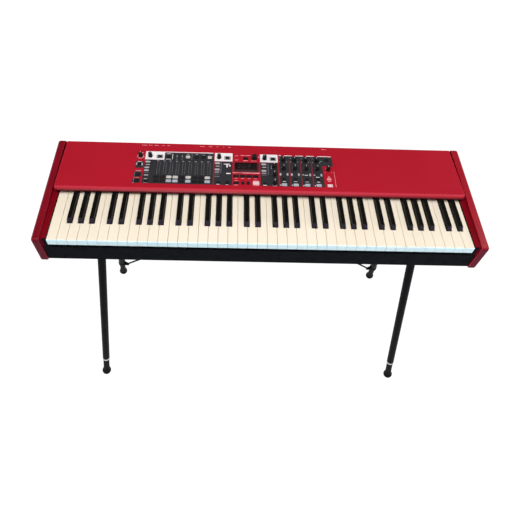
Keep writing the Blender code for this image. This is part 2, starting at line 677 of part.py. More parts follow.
def add_rear_panel(material):
    outer, inner = BODY_DEPTH, BODY_DEPTH - REAR_SHEET
    plate = box((-REAR_HALF, inner, PAN_SHEET + SEAT_GAP), (REAR_HALF, outer, LEDGE_TOP))
    behind = inner - SOCKET_DEPTH
    overlap = inner + REAR_SHEET / 2
    past = outer + SOCKET_DEPTH
    square = ((DATA_PLACE, DATA_SIZE), (INLET_PLACE, INLET_SIZE), (SWITCH_PLACE, SWITCH_SIZE))
    housings = []
    for places, radius in ((JACK_PLACES, JACK_COLLAR), (ROUND_PLACES, ROUND_RADIUS)):
        reach = radius + SOCKET_WALL / 2
        housings += [around(x, reach, reach, behind, overlap) for x in places]
    for x, size in square:
        reach_x, reach_z = size[0] / 2 + SOCKET_WALL, size[1] / 2 + SOCKET_WALL
        housings.append(around(x, reach_x, reach_z, behind - SOCKET_WALL, overlap))
    collar_start, collar_end = inner + REAR_SHEET / 3, outer + JACK_COLLAR_RISE
    collars = [drum_y((x, SOCKET_HEIGHT), JACK_COLLAR, collar_start, collar_end, COLLAR_SIDES)
               for x in JACK_PLACES]
    cuts = [drum_y((x, SOCKET_HEIGHT), JACK_RADIUS, behind + SOCKET_WALL, past) for x in JACK_PLACES]
    cuts += [drum_y((x, SOCKET_HEIGHT), ROUND_RADIUS, outer - ROUND_RECESS, past, COLLAR_SIDES)
             for x in ROUND_PLACES]
    cuts += [around(x, size[0] / 2, size[1] / 2, outer - SOCKET_DEPTH, past) for x, size in square]
    return add_piece("rear_panel", plate, material,
                     steps=[("UNION", joined(housings)), ("UNION", joined(collars)),
                            ("DIFFERENCE", joined(cuts)), ("UNION", joined(inlet_pins(outer)))])


def add_power_switch(material):
    """A rocker, lying at its off end: turning it by twice the tilt switches it on."""
    half = SWITCH_SIZE[1] / 2 - 2 * SIDE_GAP
    lip = ROCKER_RISE + ROCKER_DISH
    profile = [(-ROCKER_DEPTH, -ROCKER_HEEL), (-ROCKER_DEPTH, ROCKER_HEEL), (0.0, half), (lip, half),
               (ROCKER_RISE, 0.0), (lip, -half), (0.0, -half)]
    tilt = math.radians(SWITCH_TILT)
    pivot_y = BODY_DEPTH - ROCKER_PIVOT_DEPTH
    turned = [(pivot_y + y * math.cos(tilt) - z * math.sin(tilt),
               SOCKET_HEIGHT + y * math.sin(tilt) + z * math.cos(tilt)) for y, z in profile]
    reach = SWITCH_SIZE[0] / 2 - SIDE_GAP
    rocker = prism_x(turned, SWITCH_PLACE - reach, SWITCH_PLACE + reach)
    return add_piece("power_switch", rocker, material, (SWITCH_PLACE, pivot_y, SOCKET_HEIGHT))


# Keyboard

def key_table():
    """(note number, naturals to its left, is it a sharp) for every key."""
    keys = []
    naturals = 0
    note = LOWEST_NOTE
    while True:
        if note % 12 in SHARP_OFFSETS:
            keys.append((note, naturals, True))
        else:
            if naturals == NATURAL_COUNT:
                return [key for key in keys if key[1] < NATURAL_COUNT or not key[2]]
            keys.append((note, naturals, False))
            naturals += 1
        note += 1


def natural_left(index):
    return -KEYS_HALF + index * KEY_PITCH


def sharp_centre(note, naturals):
    return natural_left(naturals) + SHARP_OFFSETS[note % 12]


def natural_profile():
    bottom = NATURAL_TOP - NATURAL_DEPTH
    lip = NATURAL_TOP - NATURAL_LIP
    radius = NATURAL_NOSE_RADIUS
    points = [(KEY_FRONT, lip)]
    points += arc((KEY_FRONT + radius, NATURAL_TOP - radius), radius, 180, 90, 2)
    points += [(NATURAL_END, NATURAL_TOP), (NATURAL_END, TAIL_BOTTOM + TAIL_HEIGHT),
               (KEY_TAIL_END, TAIL_BOTTOM + TAIL_HEIGHT), (KEY_TAIL_END, TAIL_BOTTOM),
               (NATURAL_END + NATURAL_LIP / 2, TAIL_BOTTOM), (NATURAL_END - NATURAL_LIP / 2, bottom),
               (KEY_FRONT + NATURAL_LIP_THICKNESS, bottom), (KEY_FRONT + NATURAL_LIP_THICKNESS, lip)]
    return points


def natural_blank(index):
    left = natural_left(index) + KEY_GAP / 2
    return prism_x(natural_profile(), left, left + KEY_PITCH - KEY_GAP)


def neck_centre(index, sharps):
    """Middle of a natural's narrow part, between the sharps that cut into it."""
    left, right = natural_left(index), natural_left(index + 1)
    reach = SHARP_WIDTH / 2 + SHARP_NOTCH_GAP
    low = max([left] + [x + reach for x in sharps if x < left + KEY_PITCH / 2 and x + reach > left])
    high = min([right] + [x - reach for x in sharps if x > left + KEY_PITCH / 2 and x - reach < right])
    return (low + high) / 2


def sharp_slots(sharps):
    """Cutters: a slot for each sharp between its naturals."""
    low, high = TAIL_BOTTOM - NATURAL_LIP, NATURAL_TOP + NATURAL_LIP
    reach = SHARP_WIDTH / 2 + SHARP_NOTCH_GAP
    front = KEY_FRONT + SHARP_SETBACK - SHARP_NOTCH_GAP
    return joined([box((x - reach, front, low), (x + reach, NATURAL_END + KEY_GAP, high)) for x in sharps])


def tail_slots(indices, sharps):
    """Cutters: the room between the narrow tails behind the keys."""
    low, high = TAIL_BOTTOM - NATURAL_LIP, NATURAL_TOP + NATURAL_LIP
    half = NATURAL_TAIL_WIDTH / 2
    edges = [natural_left(indices[0]) - KEY_PITCH]
    for index in indices:
        centre = neck_centre(index, sharps)
        edges += [centre - half, centre + half]
    edges.append(natural_left(indices[-1] + 1) + KEY_PITCH)
    return joined([box((left, NATURAL_END, low), (right, KEY_TAIL_END + KEY_GAP, high))
                   for left, right in zip(edges[0::2], edges[1::2])])


def sharp_cap(centre):
    """Straight below the naturals' tops, then drawn in to a narrow top with a sloped front."""
    base = TAIL_BOTTOM + TAIL_HEIGHT
    top = NATURAL_TOP + SHARP_RISE
    front = KEY_FRONT + SHARP_SETBACK
    wide, narrow = SHARP_WIDTH / 2, SHARP_TOP_WIDTH / 2
    levels = [
        (base, wide, front, SHARP_END),
        (NATURAL_TOP, wide, front, SHARP_END),
        (top - SHARP_EDGE, narrow, front + SHARP_FRONT_SLOPE, SHARP_END),
        (top, narrow - SHARP_EDGE, front + SHARP_FRONT_SLOPE + 2 * SHARP_EDGE, SHARP_END - SHARP_EDGE),
    ]
    points = []
    for z, half, near, far in levels:
        points += [(centre - half, near, z), (centre + half, near, z), (centre + half, far, z),
                   (centre - half, far, z)]
    faces = [(3, 2, 1, 0), (12, 13, 14, 15)]
    for level in range(3):
        start = 4 * level
        for side in range(4):
            after = (side + 1) % 4
            faces.append((start + side, start + after, start + after + 4, start + side + 4))
    return points, faces


def sharp_tail(centre):
    bottom = TAIL_BOTTOM + SHARP_TAIL_LIFT
    front = SHARP_END - NATURAL_LIP
    heel = KEY_HINGE_Y - (KEY_TAIL_END - KEY_HINGE_Y)
    profile = [(front, bottom), (heel, bottom), (heel, TAIL_BOTTOM), (KEY_TAIL_END, TAIL_BOTTOM),
               (KEY_TAIL_END, bottom + TAIL_HEIGHT), (front, bottom + TAIL_HEIGHT)]
    half = SHARP_TAIL_WIDTH / 2
    return prism_x(profile, centre - half, centre + half)


def add_key_bank(name, keys, materials):
    """Every key of one end, carried by two rails at the back of the key frame."""
    naturals = [naturals for note, naturals, sharp in keys if not sharp]
    sharps = [sharp_centre(note, naturals) for note, naturals, sharp in keys if sharp]
    low, high = natural_left(naturals[0]) + KEY_PITCH / 4, natural_left(naturals[-1] + 1) - KEY_PITCH / 4
    rail_top = TAIL_BOTTOM + RAIL_BITE
    rail = box((low, NATURAL_RAIL_Y - NATURAL_RAIL_WIDTH / 2, rail_top - NATURAL_RAIL_HEIGHT),
               (high, NATURAL_RAIL_Y + NATURAL_RAIL_WIDTH / 2, rail_top))
    add_piece(f"{name}_naturals", joined([natural_blank(index) for index in naturals]),
              materials["key_cream"],
              steps=[("DIFFERENCE", sharp_slots(sharps)), ("DIFFERENCE", tail_slots(naturals, sharps)),
                     ("UNION", rail)])
    bar_bottom = TAIL_BOTTOM + SHARP_TAIL_LIFT + TAIL_HEIGHT - RAIL_BITE
    reach = SHARP_TAIL_WIDTH / 2 + KEY_GAP
    bar = box((sharps[0] - reach, SHARP_RAIL_Y - SHARP_RAIL_WIDTH / 2, bar_bottom),
              (sharps[-1] + reach, SHARP_RAIL_Y + SHARP_RAIL_WIDTH / 2, bar_bottom + SHARP_RAIL_HEIGHT))
    add_piece(f"{name}_sharps", joined([sharp_tail(x) for x in sharps]), materials["key_black"],
              steps=[("UNION", joined([sharp_cap(x) for x in sharps])), ("UNION", bar)])


NOTE_NAMES = ("c", "c_sharp", "d", "d_sharp", "e", "f", "f_sharp", "g", "g_sharp", "a", "a_sharp", "b")


def add_hinged_keys(keys, materials):
    """The middle octave: each key turns about a line along X on the hinge wall."""
    naturals = [naturals for note, naturals, sharp in keys if not sharp]
    sharps = [sharp_centre(note, naturals) for note, naturals, sharp in keys if sharp]
    necks, tails = sharp_slots(sharps), tail_slots(naturals, sharps)
    for note, index, is_sharp in keys:
        name = f"key_{NOTE_NAMES[note % 12]}"
        if is_sharp:
            centre = sharp_centre(note, index)
            origin = (centre, KEY_HINGE_Y, TAIL_BOTTOM)
            add_piece(name, sharp_tail(centre), materials["key_black"], origin,
                      steps=[("UNION", sharp_cap(centre))])
        else:
            origin = (natural_left(index) + KEY_PITCH / 2, KEY_HINGE_Y, TAIL_BOTTOM)
            add_piece(name, natural_blank(index), materials["key_cream"], origin,
                      steps=[("DIFFERENCE", necks), ("DIFFERENCE", tails)])


def add_key_frame(material):
    """Folded steel tray with a front stop rail and the rear hinge wall."""
    half = KEYS_HALF - TRAY_MARGIN
    low = PAN_SHEET + SEAT_GAP
    front = STOP_WALL_Y - TRAY_MARGIN
    back = KEY_TAIL_END + TRAY_MARGIN
    tray = box((-half, front, low), (half, back, low + FRAME_SHEET))
    base = low + FRAME_SHEET / 2
    stop = box((-half, STOP_WALL_Y - STOP_WALL / 2, base), (half, STOP_WALL_Y + STOP_WALL / 2, STOP_WALL_TOP))
    hinge = box((-half, KEY_HINGE_Y - HINGE_WALL / 2, base),
                (half, KEY_HINGE_Y + HINGE_WALL / 2, TAIL_BOTTOM - SEAT_GAP))
    return add_piece("key_frame", tray, material, steps=[("UNION", stop), ("UNION", hinge)])


def add_keyboard(materials):
    keys = key_table()
    first = 12 * MOVING_OCTAVE
    add_key_bank("bass", [key for key in keys if key[0] < first], materials)
    add_hinged_keys([key for key in keys if first <= key[0] < first + 12], materials)
    add_key_bank("treble", [key for key in keys if key[0] >= first + 12], materials)
    add_key_frame(materials["frame_steel"])


# Stand

FOOT_CENTRE_Z = FOOT_RADIUS - FOOT_FLAT - UNDERSIDE_HEIGHT
LEG_TOP = (BODY_WIDTH / 2 - LEG_INSET[0], BODY_DEPTH / 2 - LEG_INSET[1])
LEG_SHOULDER = PLATE_THICKNESS + BOSS_LENGTH
CORNERS = {"front_left": (-1, -1), "front_right": (1, -1), "rear_left": (-1, 1), "rear_right": (1, 1)}


def leg_ends(corner):
    """Where a leg's axis meets the underside, and its foot ball's centre."""
    side, end = CORNERS[corner]
    middle = BODY_DEPTH / 2
    top = Vector((side * LEG_TOP[0], middle + end * LEG_TOP[1], 0.0))
    foot = top + Vector((side * LEG_SPLAY[0], end * LEG_SPLAY[1], FOOT_CENTRE_Z))
    return top, foot


def axis_frame(start, along):
    """A matrix whose local -Z runs along the given direction."""
    up = -along.normalized()
    across = (Vector((1, 0, 0)) - up * up.x).normalized()
    turn = Matrix((across, up.cross(across), up)).transposed()
    return Matrix.Translation(start) @ turn.to_4x4()


def add_stand_plate(name, side, material):
    x, reach = side * LEG_TOP[0], LEG_TOP[1] + PLATE_MARGIN
    middle = BODY_DEPTH / 2
    plate = box((x - PLATE_HALF_WIDTH, middle - reach, -PLATE_THICKNESS - SEAT_GAP),
                (x + PLATE_HALF_WIDTH, middle + reach, -SEAT_GAP))
    bosses, bores = [], []
    for corner, (corner_side, _) in CORNERS.items():
        if corner_side != side:
            continue
        top, foot = leg_ends(corner)
        frame = axis_frame(top, foot - top)
        lean = (foot - top).normalized().xy.length
        start = PLATE_THICKNESS / 2 + BOSS_RADIUS * math.tan(math.asin(lean)) / 2
        end = LEG_SHOULDER - SEAT_GAP
        bosses.append(moved(lathe([(BOSS_RADIUS, -end), (BOSS_RADIUS, -start)], LEG_SIDES), frame))
        bore = SPIGOT_RADIUS + SEAT_GAP
        depth = SPIGOT_LENGTH + SEAT_GAP
        bores.append(moved(lathe([(bore, -end - BOSS_LENGTH), (bore, depth - end)], HOLE_SIDES), frame))
    trim = box((x - BODY_WIDTH, -BODY_DEPTH, -SEAT_GAP), (x + BODY_WIDTH, 2 * BODY_DEPTH, BOSS_LENGTH))
    return add_piece(name, plate, material,
                     steps=[("UNION", joined(bosses)), ("DIFFERENCE", joined(bores)), ("DIFFERENCE", trim)])


def add_leg(corner, material):
    top, foot = leg_ends(corner)
    start = LEG_SHOULDER
    end = (foot - top).length - SLEEVE_LENGTH
    frame = axis_frame(top, foot - top)
    outside = lathe([(LEG_RADIUS, -end), (LEG_RADIUS, -start)], LEG_SIDES)
    spigot_ends = (-start - LEG_CAP / 2, SPIGOT_LENGTH - start)
    spigot = lathe([(SPIGOT_RADIUS, z) for z in spigot_ends], HOLE_SIDES)
    inside = lathe([(LEG_BORE, -end - LEG_CAP), (LEG_BORE, -start - LEG_CAP)], LEG_SIDES)
    steps = [("UNION", moved(spigot, frame)), ("DIFFERENCE", moved(inside, frame))]
    return add_piece(f"{corner}_leg", moved(outside, frame), material, tuple(top), steps, smooth=True)


def add_foot(corner, material):
    """Ball, sleeve and stem in one turned piece, cut flat where it meets the floor."""
    top, foot = leg_ends(corner)
    ball = []
    for step in range(BALL_RINGS):
        angle = math.radians(BALL_START + step * (BALL_END - BALL_START) / (BALL_RINGS - 1))
        ball.append((FOOT_RADIUS * math.cos(angle), FOOT_RADIUS * math.sin(angle)))
    sleeve_top = SLEEVE_LENGTH - SEAT_GAP
    stem = LEG_BORE - SEAT_GAP
    profile = ball + [
        (SLEEVE_NECK, FOOT_RADIUS + NECK_RISE),
        (SLEEVE_RADIUS, FOOT_RADIUS + SLEEVE_FLARE),
        (SLEEVE_RADIUS, sleeve_top),
        (stem, sleeve_top),
        (stem, sleeve_top + FOOT_TRAVEL + FOOT_GRIP),
    ]
    frame = axis_frame(foot, foot - top)
    floor = box((foot.x - BODY_WIDTH / 8, foot.y - BODY_WIDTH / 8, -UNDERSIDE_HEIGHT - FOOT_RADIUS),
                (foot.x + BODY_WIDTH / 8, foot.y + BODY_WIDTH / 8, -UNDERSIDE_HEIGHT))
    return add_piece(f"{corner}_foot", moved(lathe(profile, LEG_SIDES), frame), material, tuple(foot),
                     steps=[("DIFFERENCE", floor)], smooth=True)


def bracket_end(side):
    return Vector((side * BRACE_SPREAD, BRACKET_Y, -BRACE_DROP))


def clamp_centre(corner):
    """On the leg's axis, a little above the leg's lower end."""
    top, foot = leg_ends(corner)
    along = (foot - top).normalized()
    return foot - along * (SLEEVE_LENGTH + CLAMP_ABOVE_END + CLAMP_HEIGHT / 2), along


def brace_axis(side, corner):
    """The rod's lower end in the clamp's lug, its upper end and its direction."""
    centre, along = clamp_centre(corner)
    target = bracket_end(side)
    inward = target - centre
    inward = (inward - along * inward.dot(along)).normalized()
    start = centre + inward * (CLAMP_RADIUS + CLAMP_LUG / 2)
    return start, target, (target - start).normalized(), inward


def rod(start, end, radius, end_radius=None):
    frame = axis_frame(start, end - start)
    profile = [(end_radius or radius, -(end - start).length), (radius, 0.0)]
    return moved(lathe(profile, HOLE_SIDES), frame)


def add_brace(name, side, corner, material):
    """A rod welded to the clamp that grips the rear leg just above its foot."""
    centre, along = clamp_centre(corner)
    start, end, toward, inward = brace_axis(side, corner)
    collar_frame = axis_frame(centre, along)
    ring = lathe([(CLAMP_RADIUS, -CLAMP_HEIGHT / 2), (CLAMP_RADIUS, CLAMP_HEIGHT / 2)], LEG_SIDES)
    bore = LEG_RADIUS + SEAT_GAP
    hole = lathe([(bore, -CLAMP_HEIGHT), (bore, CLAMP_HEIGHT)], LEG_SIDES)
    lug = rod(centre + inward * (CLAMP_RADIUS - BRACE_RADIUS), centre + inward * (CLAMP_RADIUS + CLAMP_LUG),
              CLAMP_LUG_RADIUS, LUG_TIP_RADIUS)
    shaft = rod(start, end - toward * SEAT_GAP, BRACE_RADIUS)
    return add_piece(name, moved(ring, collar_frame), material, tuple(centre),
                     steps=[("UNION", lug), ("DIFFERENCE", moved(hole, collar_frame)), ("UNION", shaft)])


def add_brace_bracket(material):
    """A plate under the middle of the case with a slanted socket for each rod."""
    width, depth, socket_length = BRACKET_SIZE
    plate = box((-width / 2, BRACKET_Y - depth / 2, -PLATE_THICKNESS - SEAT_GAP),
                (width / 2, BRACKET_Y + depth / 2, -SEAT_GAP))
    sockets = []
    for side, corner in ((-1, "rear_left"), (1, "rear_right")):
        _, end, toward, _ = brace_axis(side, corner)
        sockets.append(rod(end, end + toward * socket_length, 2 * BRACE_RADIUS))
    web = box((-BRACE_SPREAD / 2, BRACKET_Y - PLATE_THICKNESS, -BRACKET_WEB_HEIGHT),
              (BRACE_SPREAD / 2, BRACKET_Y + PLATE_THICKNESS, -PLATE_THICKNESS / 2))
    trim = box((-BODY_WIDTH, -BODY_DEPTH, -SEAT_GAP), (BODY_WIDTH, 2 * BODY_DEPTH, BODY_DEPTH))
    steps = [("UNION", part) for part in (*sockets, web)]
    return add_piece("brace_bracket", plate, material, steps=[*steps, ("DIFFERENCE", trim)])


def add_stand(materials):
    black = materials["stand_black"]
    add_stand_plate("left_stand_plate", -1, black)
    add_stand_plate("right_stand_plate", 1, black)
    for corner in CORNERS:
        add_leg(corner, black)
        add_foot(corner, materials["foot_rubber"])
    add_brace("left_brace", -1, "rear_left", black)
    add_brace("right_brace", 1, "rear_right", black)
    add_brace_bracket(black)


def main():
    clear_scene()
    materials = make_materials()
    add_cheek("left_cheek", -1, materials["cheek_red"])
    add_cheek("right_cheek", 1, materials["cheek_red"])
    add_bottom_pan(materials["case_black"])
    add_key_slip(materials["case_black"])
    add_rear_panel(materials["panel_red"])
    add_power_switch(materials["case_black"])
    add_controls(materials)
    add_keyboard(materials)
    add_stand(materials)


main()
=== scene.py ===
import json
import math

import bmesh
import bpy
from mathutils import Matrix, Vector


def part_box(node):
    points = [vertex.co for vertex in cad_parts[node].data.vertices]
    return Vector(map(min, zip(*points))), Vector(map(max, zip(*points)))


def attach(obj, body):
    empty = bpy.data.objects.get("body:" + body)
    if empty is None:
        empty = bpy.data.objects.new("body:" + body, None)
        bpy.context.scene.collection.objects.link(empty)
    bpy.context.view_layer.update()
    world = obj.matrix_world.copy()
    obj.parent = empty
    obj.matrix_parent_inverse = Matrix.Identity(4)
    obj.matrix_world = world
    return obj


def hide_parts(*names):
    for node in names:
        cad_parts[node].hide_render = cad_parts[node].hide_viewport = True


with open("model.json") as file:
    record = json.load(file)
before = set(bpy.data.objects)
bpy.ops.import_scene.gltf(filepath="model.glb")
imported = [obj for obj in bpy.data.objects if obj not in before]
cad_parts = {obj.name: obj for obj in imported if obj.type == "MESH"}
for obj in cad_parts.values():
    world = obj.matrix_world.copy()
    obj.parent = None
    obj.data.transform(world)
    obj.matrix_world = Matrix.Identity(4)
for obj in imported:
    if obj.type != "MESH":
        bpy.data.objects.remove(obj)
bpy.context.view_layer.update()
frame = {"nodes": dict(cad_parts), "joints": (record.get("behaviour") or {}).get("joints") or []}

mainBody = "case_and_stand"
cheekLow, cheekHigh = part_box("left_cheek")
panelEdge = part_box("top_panel")[0].y - cheekLow.y
caseOrigin = Vector((0.0, cheekLow.y, cheekLow.z))
caseBack = cheekHigh.y - cheekLow.y
hair = 0.0001          # keeps two surfaces from lying in one plane
fit = 0.0003           # clearance between pieces that go into each other


def inCase(node):
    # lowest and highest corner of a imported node, in the case's axes
    low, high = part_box(node)
    return low - caseOrigin, high - caseOrigin


def middleOf(node):
    low, high = inCase(node)
    return (low.x + high.x) / 2, (low.y + high.y) / 2


def paint(red, green, blue):
    # a colour as a paint chart gives it, turned to the linear one that shaders take
    chart = [value / 255 for value in (red, green, blue)]
    return (*[v / 12.92 if v <= 0.04045 else ((v + 0.055) / 1.055) ** 2.4 for v in chart], 1.0)


def putInScene(item):
    bpy.context.scene.collection.objects.link(item)


# Camera, from the photograph's own viewpoint

photoCamera = dict(
    place=(-0.0849, -0.7940, 1.6767),
    yaw=2.4217, pitch=53.2845, roll=3.1656,   # degrees; pitch is below the horizon
    focalPixels=484.241,
    centrePixels=(239.298, 223.124),
    framePixels=520.0,
    sensor=36.0,
)


def makeCamera():
    yaw, pitch, roll = (math.radians(photoCamera[name]) for name in ("yaw", "pitch", "roll"))
    ahead = Vector((math.sin(yaw) * math.cos(pitch), math.cos(yaw) * math.cos(pitch),
                    -math.sin(pitch)))
    level = Vector((math.cos(yaw), -math.sin(yaw), 0.0))
    above = level.cross(ahead)
    right = math.cos(roll) * level + math.sin(roll) * above
    up = math.cos(roll) * above - math.sin(roll) * level
    data = bpy.data.cameras.new("photoCamera")
    frameSize = photoCamera["framePixels"]
    data.sensor_width = photoCamera["sensor"]
    data.lens = photoCamera["focalPixels"] / frameSize * photoCamera["sensor"]
    data.shift_x = (frameSize / 2 - photoCamera["centrePixels"][0]) / frameSize
    data.shift_y = (photoCamera["centrePixels"][1] - frameSize / 2) / frameSize
    camera = bpy.data.objects.new("photoCamera", data)
    turn = Matrix((right, up, -ahead)).transposed().to_4x4()
    camera.matrix_world = Matrix.Translation(photoCamera["place"]) @ turn
    putInScene(camera)
    bpy.context.scene.camera = camera


# Nodes: outputs of other nodes are linked to the inputs, numbers and colours set on them

def feed(tree, node, values):
    for label, value in values.items():
        if isinstance(value, bpy.types.NodeSocket):
            tree.links.new(value, node.inputs[label])
        else:
            node.inputs[label].default_value = value


def addNode(tree, kind, values, **settings):
    node = tree.nodes.new(f"ShaderNode{kind}")
    for setting, choice in settings.items():
        setattr(node, setting, choice)
    feed(tree, node, values)
    return node


def addMath(tree, operation, *values):
    return addNode(tree, "Math", dict(enumerate(values)), operation=operation).outputs[0]


def addMix(tree, factor, first, second):
    # the first colour where factor is 0, the second where it is 1
    mix = addNode(tree, "Mix", {"Factor": factor, "A": first, "B": second}, data_type="RGBA")
    return mix.outputs["Result"]


def newMaterial(name):
    material = bpy.data.materials.new(name)
    material.use_nodes = True
    return material, material.node_tree, material.node_tree.nodes["Principled BSDF"]


# Studio: a plain white floor, soft lamps, white walls and a dim ceiling

studio = dict(
    floorHalf=30.0, floorDrop=0.0002, floorWhite=(255, 255, 255),
    shadowShare=0.16,          # how much of the floor's white comes from the lamps
    floorGlow=0.985,
    wallLight=1.0, wallTop=0.22, ceilingLight=0.02, ceilingFrom=0.50,
    aim=(0.0, 0.0, 0.7),
)
lamps = dict(
    keyLamp=dict(place=(-0.45, -0.75, 3.3), size=1.6, power=48.5),
    fillLamp=dict(place=(0.4, -0.2, 3.6), size=3.0, power=40.0),
    sheenLamp=dict(place=(1.50, 0.42, 2.10), size=0.30, power=2.6),
    frontLamp=dict(place=(1.75, -1.75, 1.20), size=1.0, power=9.0, mirrored=False),
)


def addLamp(name, place, size, power, mirrored=True):
    # a round soft lamp; one that isn't mirrored only fills, and shows on no glossy piece
    data = bpy.data.lights.new(name, "AREA")
    data.shape = "DISK"
    data.size = size
    data.energy = power
    lamp = bpy.data.objects.new(name, data)
    lamp.location = place
    ahead = Vector(studio["aim"]) - Vector(place)
    lamp.rotation_euler = ahead.to_track_quat("-Z", "Y").to_euler()
    lamp.visible_glossy = mirrored
    putInScene(lamp)


def makeFloor():
    half = studio["floorHalf"]
    mesh = bpy.data.meshes.new("studioFloor")
    mesh.from_pydata([(-half, -half, 0), (half, -half, 0), (half, half, 0), (-half, half, 0)],
                     [], [(0, 1, 2, 3)])
    floor = bpy.data.objects.new("studioFloor", mesh)
    floor.location.z = -studio["floorDrop"]
    putInScene(floor)
    material, tree, shader = newMaterial("studioFloor")
    # 1 for rays from the camera, a mirror or through glass, which see the plain background
    path = tree.nodes.new("ShaderNodeLightPath").outputs
    direct = addMath(tree, "MAXIMUM", path["Is Camera Ray"], path["Is Glossy Ray"])
    direct = addMath(tree, "MAXIMUM", direct, path["Is Transmission Ray"])
    white = paint(*studio["floorWhite"])
    lit = (*[channel * studio["shadowShare"] for channel in white[:3]], 1.0)
    feed(tree, shader, {
        "Base Color": addMix(tree, direct, white, lit),
        "Emission Color": white,
        "Emission Strength": addMath(tree, "MULTIPLY", direct, studio["floorGlow"]),
        "Roughness": 1.0,
        "Specular IOR Level": 0.0,
    })
    mesh.materials.append(material)


def makeRoom():
    world = bpy.data.worlds.new("studioRoom")
    world.use_nodes = True
    bpy.context.scene.world = world
    tree = world.node_tree
    where = tree.nodes.new("ShaderNodeTexCoord").outputs["Generated"]
    split = addNode(tree, "SeparateXYZ", {0: where})
    ramp = addNode(tree, "MapRange", {
        "Value": split.outputs["Z"], "From Min": studio["wallTop"],
        "From Max": studio["ceilingFrom"], "To Min": studio["wallLight"],
        "To Max": studio["ceilingLight"]})
    feed(tree, tree.nodes["Background"], {
        "Color": (1.0, 1.0, 1.0, 1.0), "Strength": ramp.outputs["Result"]})


makeCamera()
makeFloor()
makeRoom()
for name, lamp in lamps.items():
    addLamp(name, **lamp)
bpy.context.scene.view_settings.view_transform = "Standard"
print("camera, floor, room and lamps made:", len(lamps), "lamps")


# Shared effects as node groups

def newGroup(name, inputs, outputs):
    # inputs with the values they start from, outputs with their kind
    group = bpy.data.node_groups.new(name, "ShaderNodeTree")
    for label, value in inputs.items():
        kind = "NodeSocketColor" if isinstance(value, tuple) else "NodeSocketFloat"
        socket = group.interface.new_socket(name=label, in_out="INPUT", socket_type=kind)
        socket.default_value = value
    for label, kind in outputs.items():
        group.interface.new_socket(name=label, in_out="OUTPUT", socket_type=kind)
    return group, group.nodes.new("NodeGroupInput").outputs, group.nodes.new("NodeGroupOutput")


def objectPlace(tree):
    return tree.nodes.new("ShaderNodeTexCoord").outputs["Object"]


def addNoise(tree, scale, detail):
    values = {"Vector": objectPlace(tree), "Scale": scale, "Detail": detail}
    return addNode(tree, "TexNoise", values).outputs["Fac"]


def betweenZeroAndOne(tree, value):
    return addMath(tree, "MINIMUM", addMath(tree, "MAXIMUM", value, 0.0), 1.0)


def makeToneDrift(low=0.42, steepness=6.0):
    # paint or plastic whose tone wanders a little over a hand's breadth
    group, given, made = newGroup("toneDrift", {
        "Tone": (0.5, 0.5, 0.5, 1.0), "Shade": (0.4, 0.4, 0.4, 1.0),
        "Patch Scale": 6.0, "Contrast": 0.5}, {"Colour": "NodeSocketColor"})
    patch = addNoise(group, given["Patch Scale"], detail=3.0)
    spread = addMath(group, "MULTIPLY", addMath(group, "SUBTRACT", patch, low), given["Contrast"])
    factor = addMath(group, "MULTIPLY", spread, steepness)
    feed(group, made, {"Colour": addMix(group, factor, given["Tone"], given["Shade"])})
    return group


def makeHandSheen(middle=0.5):
    # fingers and dust leave a surface glossier here and duller there
    group, given, made = newGroup("handSheen", {
        "Roughness": 0.4, "Spread": 0.1, "Smudge Scale": 18.0}, {"Roughness": "NodeSocketFloat"})
    smudge = addNoise(group, given["Smudge Scale"], detail=4.0)
    swing = addMath(group, "MULTIPLY", addMath(group, "SUBTRACT", smudge, middle), given["Spread"])
    feed(group, made, {"Roughness": addMath(group, "ADD", given["Roughness"], swing)})
    return group


def makeFineGrain(broadShare=0.22):
    # the small relief of powder paint, moulded plastic or orange peel
    group, given, made = newGroup("fineGrain", {
        "Grain Scale": 900.0, "Soft Share": 0.4}, {"Height": "NodeSocketFloat"})
    fine = addNoise(group, given["Grain Scale"], detail=1.0)
    broadScale = addMath(group, "MULTIPLY", given["Grain Scale"], broadShare)
    broad = addNoise(group, broadScale, detail=1.0)
    softened = addMath(group, "MULTIPLY", broad, given["Soft Share"])
    feed(group, made, {"Height": addMath(group, "ADD", fine, softened)})
    return group


def makeEdgeWearAndHighlight(flat=0.53):
    # a mask for corners: wear where hands and sleeves have polished them, and a painted highlight
    # on edges; flat faces are left out
    group, given, made = newGroup("edgeWearAndHighlight", {
        "Reach": 0.02, "Break Up": 60.0}, {"Mask": "NodeSocketFloat"})
    bend = group.nodes.new("ShaderNodeNewGeometry").outputs["Pointiness"]
    raised = addMath(group, "DIVIDE", addMath(group, "SUBTRACT", bend, flat), given["Reach"])
    broken = addNoise(group, given["Break Up"], detail=3.0)
    mask = addMath(group, "MULTIPLY", raised, broken)
    feed(group, made, {"Mask": betweenZeroAndOne(group, mask)})
    return group


def makeNoseShadeAndHighlight():
    # masks across the panel's folded front edge: painted shade over the turned-down part, and a
    # painted highlight along the crest behind it
    group, given, made = newGroup("noseShadeAndHighlight", {
        "Front": 0.0, "Width": 0.010, "Highlight Width": 0.006},
        {"Painted Shade": "NodeSocketFloat", "Painted Highlight": "NodeSocketFloat"})
    split = addNode(group, "SeparateXYZ", {0: objectPlace(group)})
    behind = addMath(group, "SUBTRACT", split.outputs["Y"], given["Front"])
    paintedNose = addMath(group, "SUBTRACT", 1.0, addMath(group, "DIVIDE", behind, given["Width"]))
    highlightMiddle = addMath(group, "ADD", given["Width"], given["Highlight Width"])
    away = addMath(group, "ABSOLUTE", addMath(group, "SUBTRACT", behind, highlightMiddle))
    paintedHighlight = addMath(group, "SUBTRACT", 1.0, addMath(group, "DIVIDE", away, given["Highlight Width"]))
    feed(group, made, {"Painted Shade": betweenZeroAndOne(group, paintedNose),
                       "Painted Highlight": addMath(group, "MAXIMUM", paintedHighlight, 0.0)})
    return group


toneDrift = makeToneDrift()
handSheen = makeHandSheen()
fineGrain = makeFineGrain()
edgeWearAndHighlight = makeEdgeWearAndHighlight()
noseShadeAndHighlight = makeNoseShadeAndHighlight()


# Finishes: each is a dictionary over what a plain one has

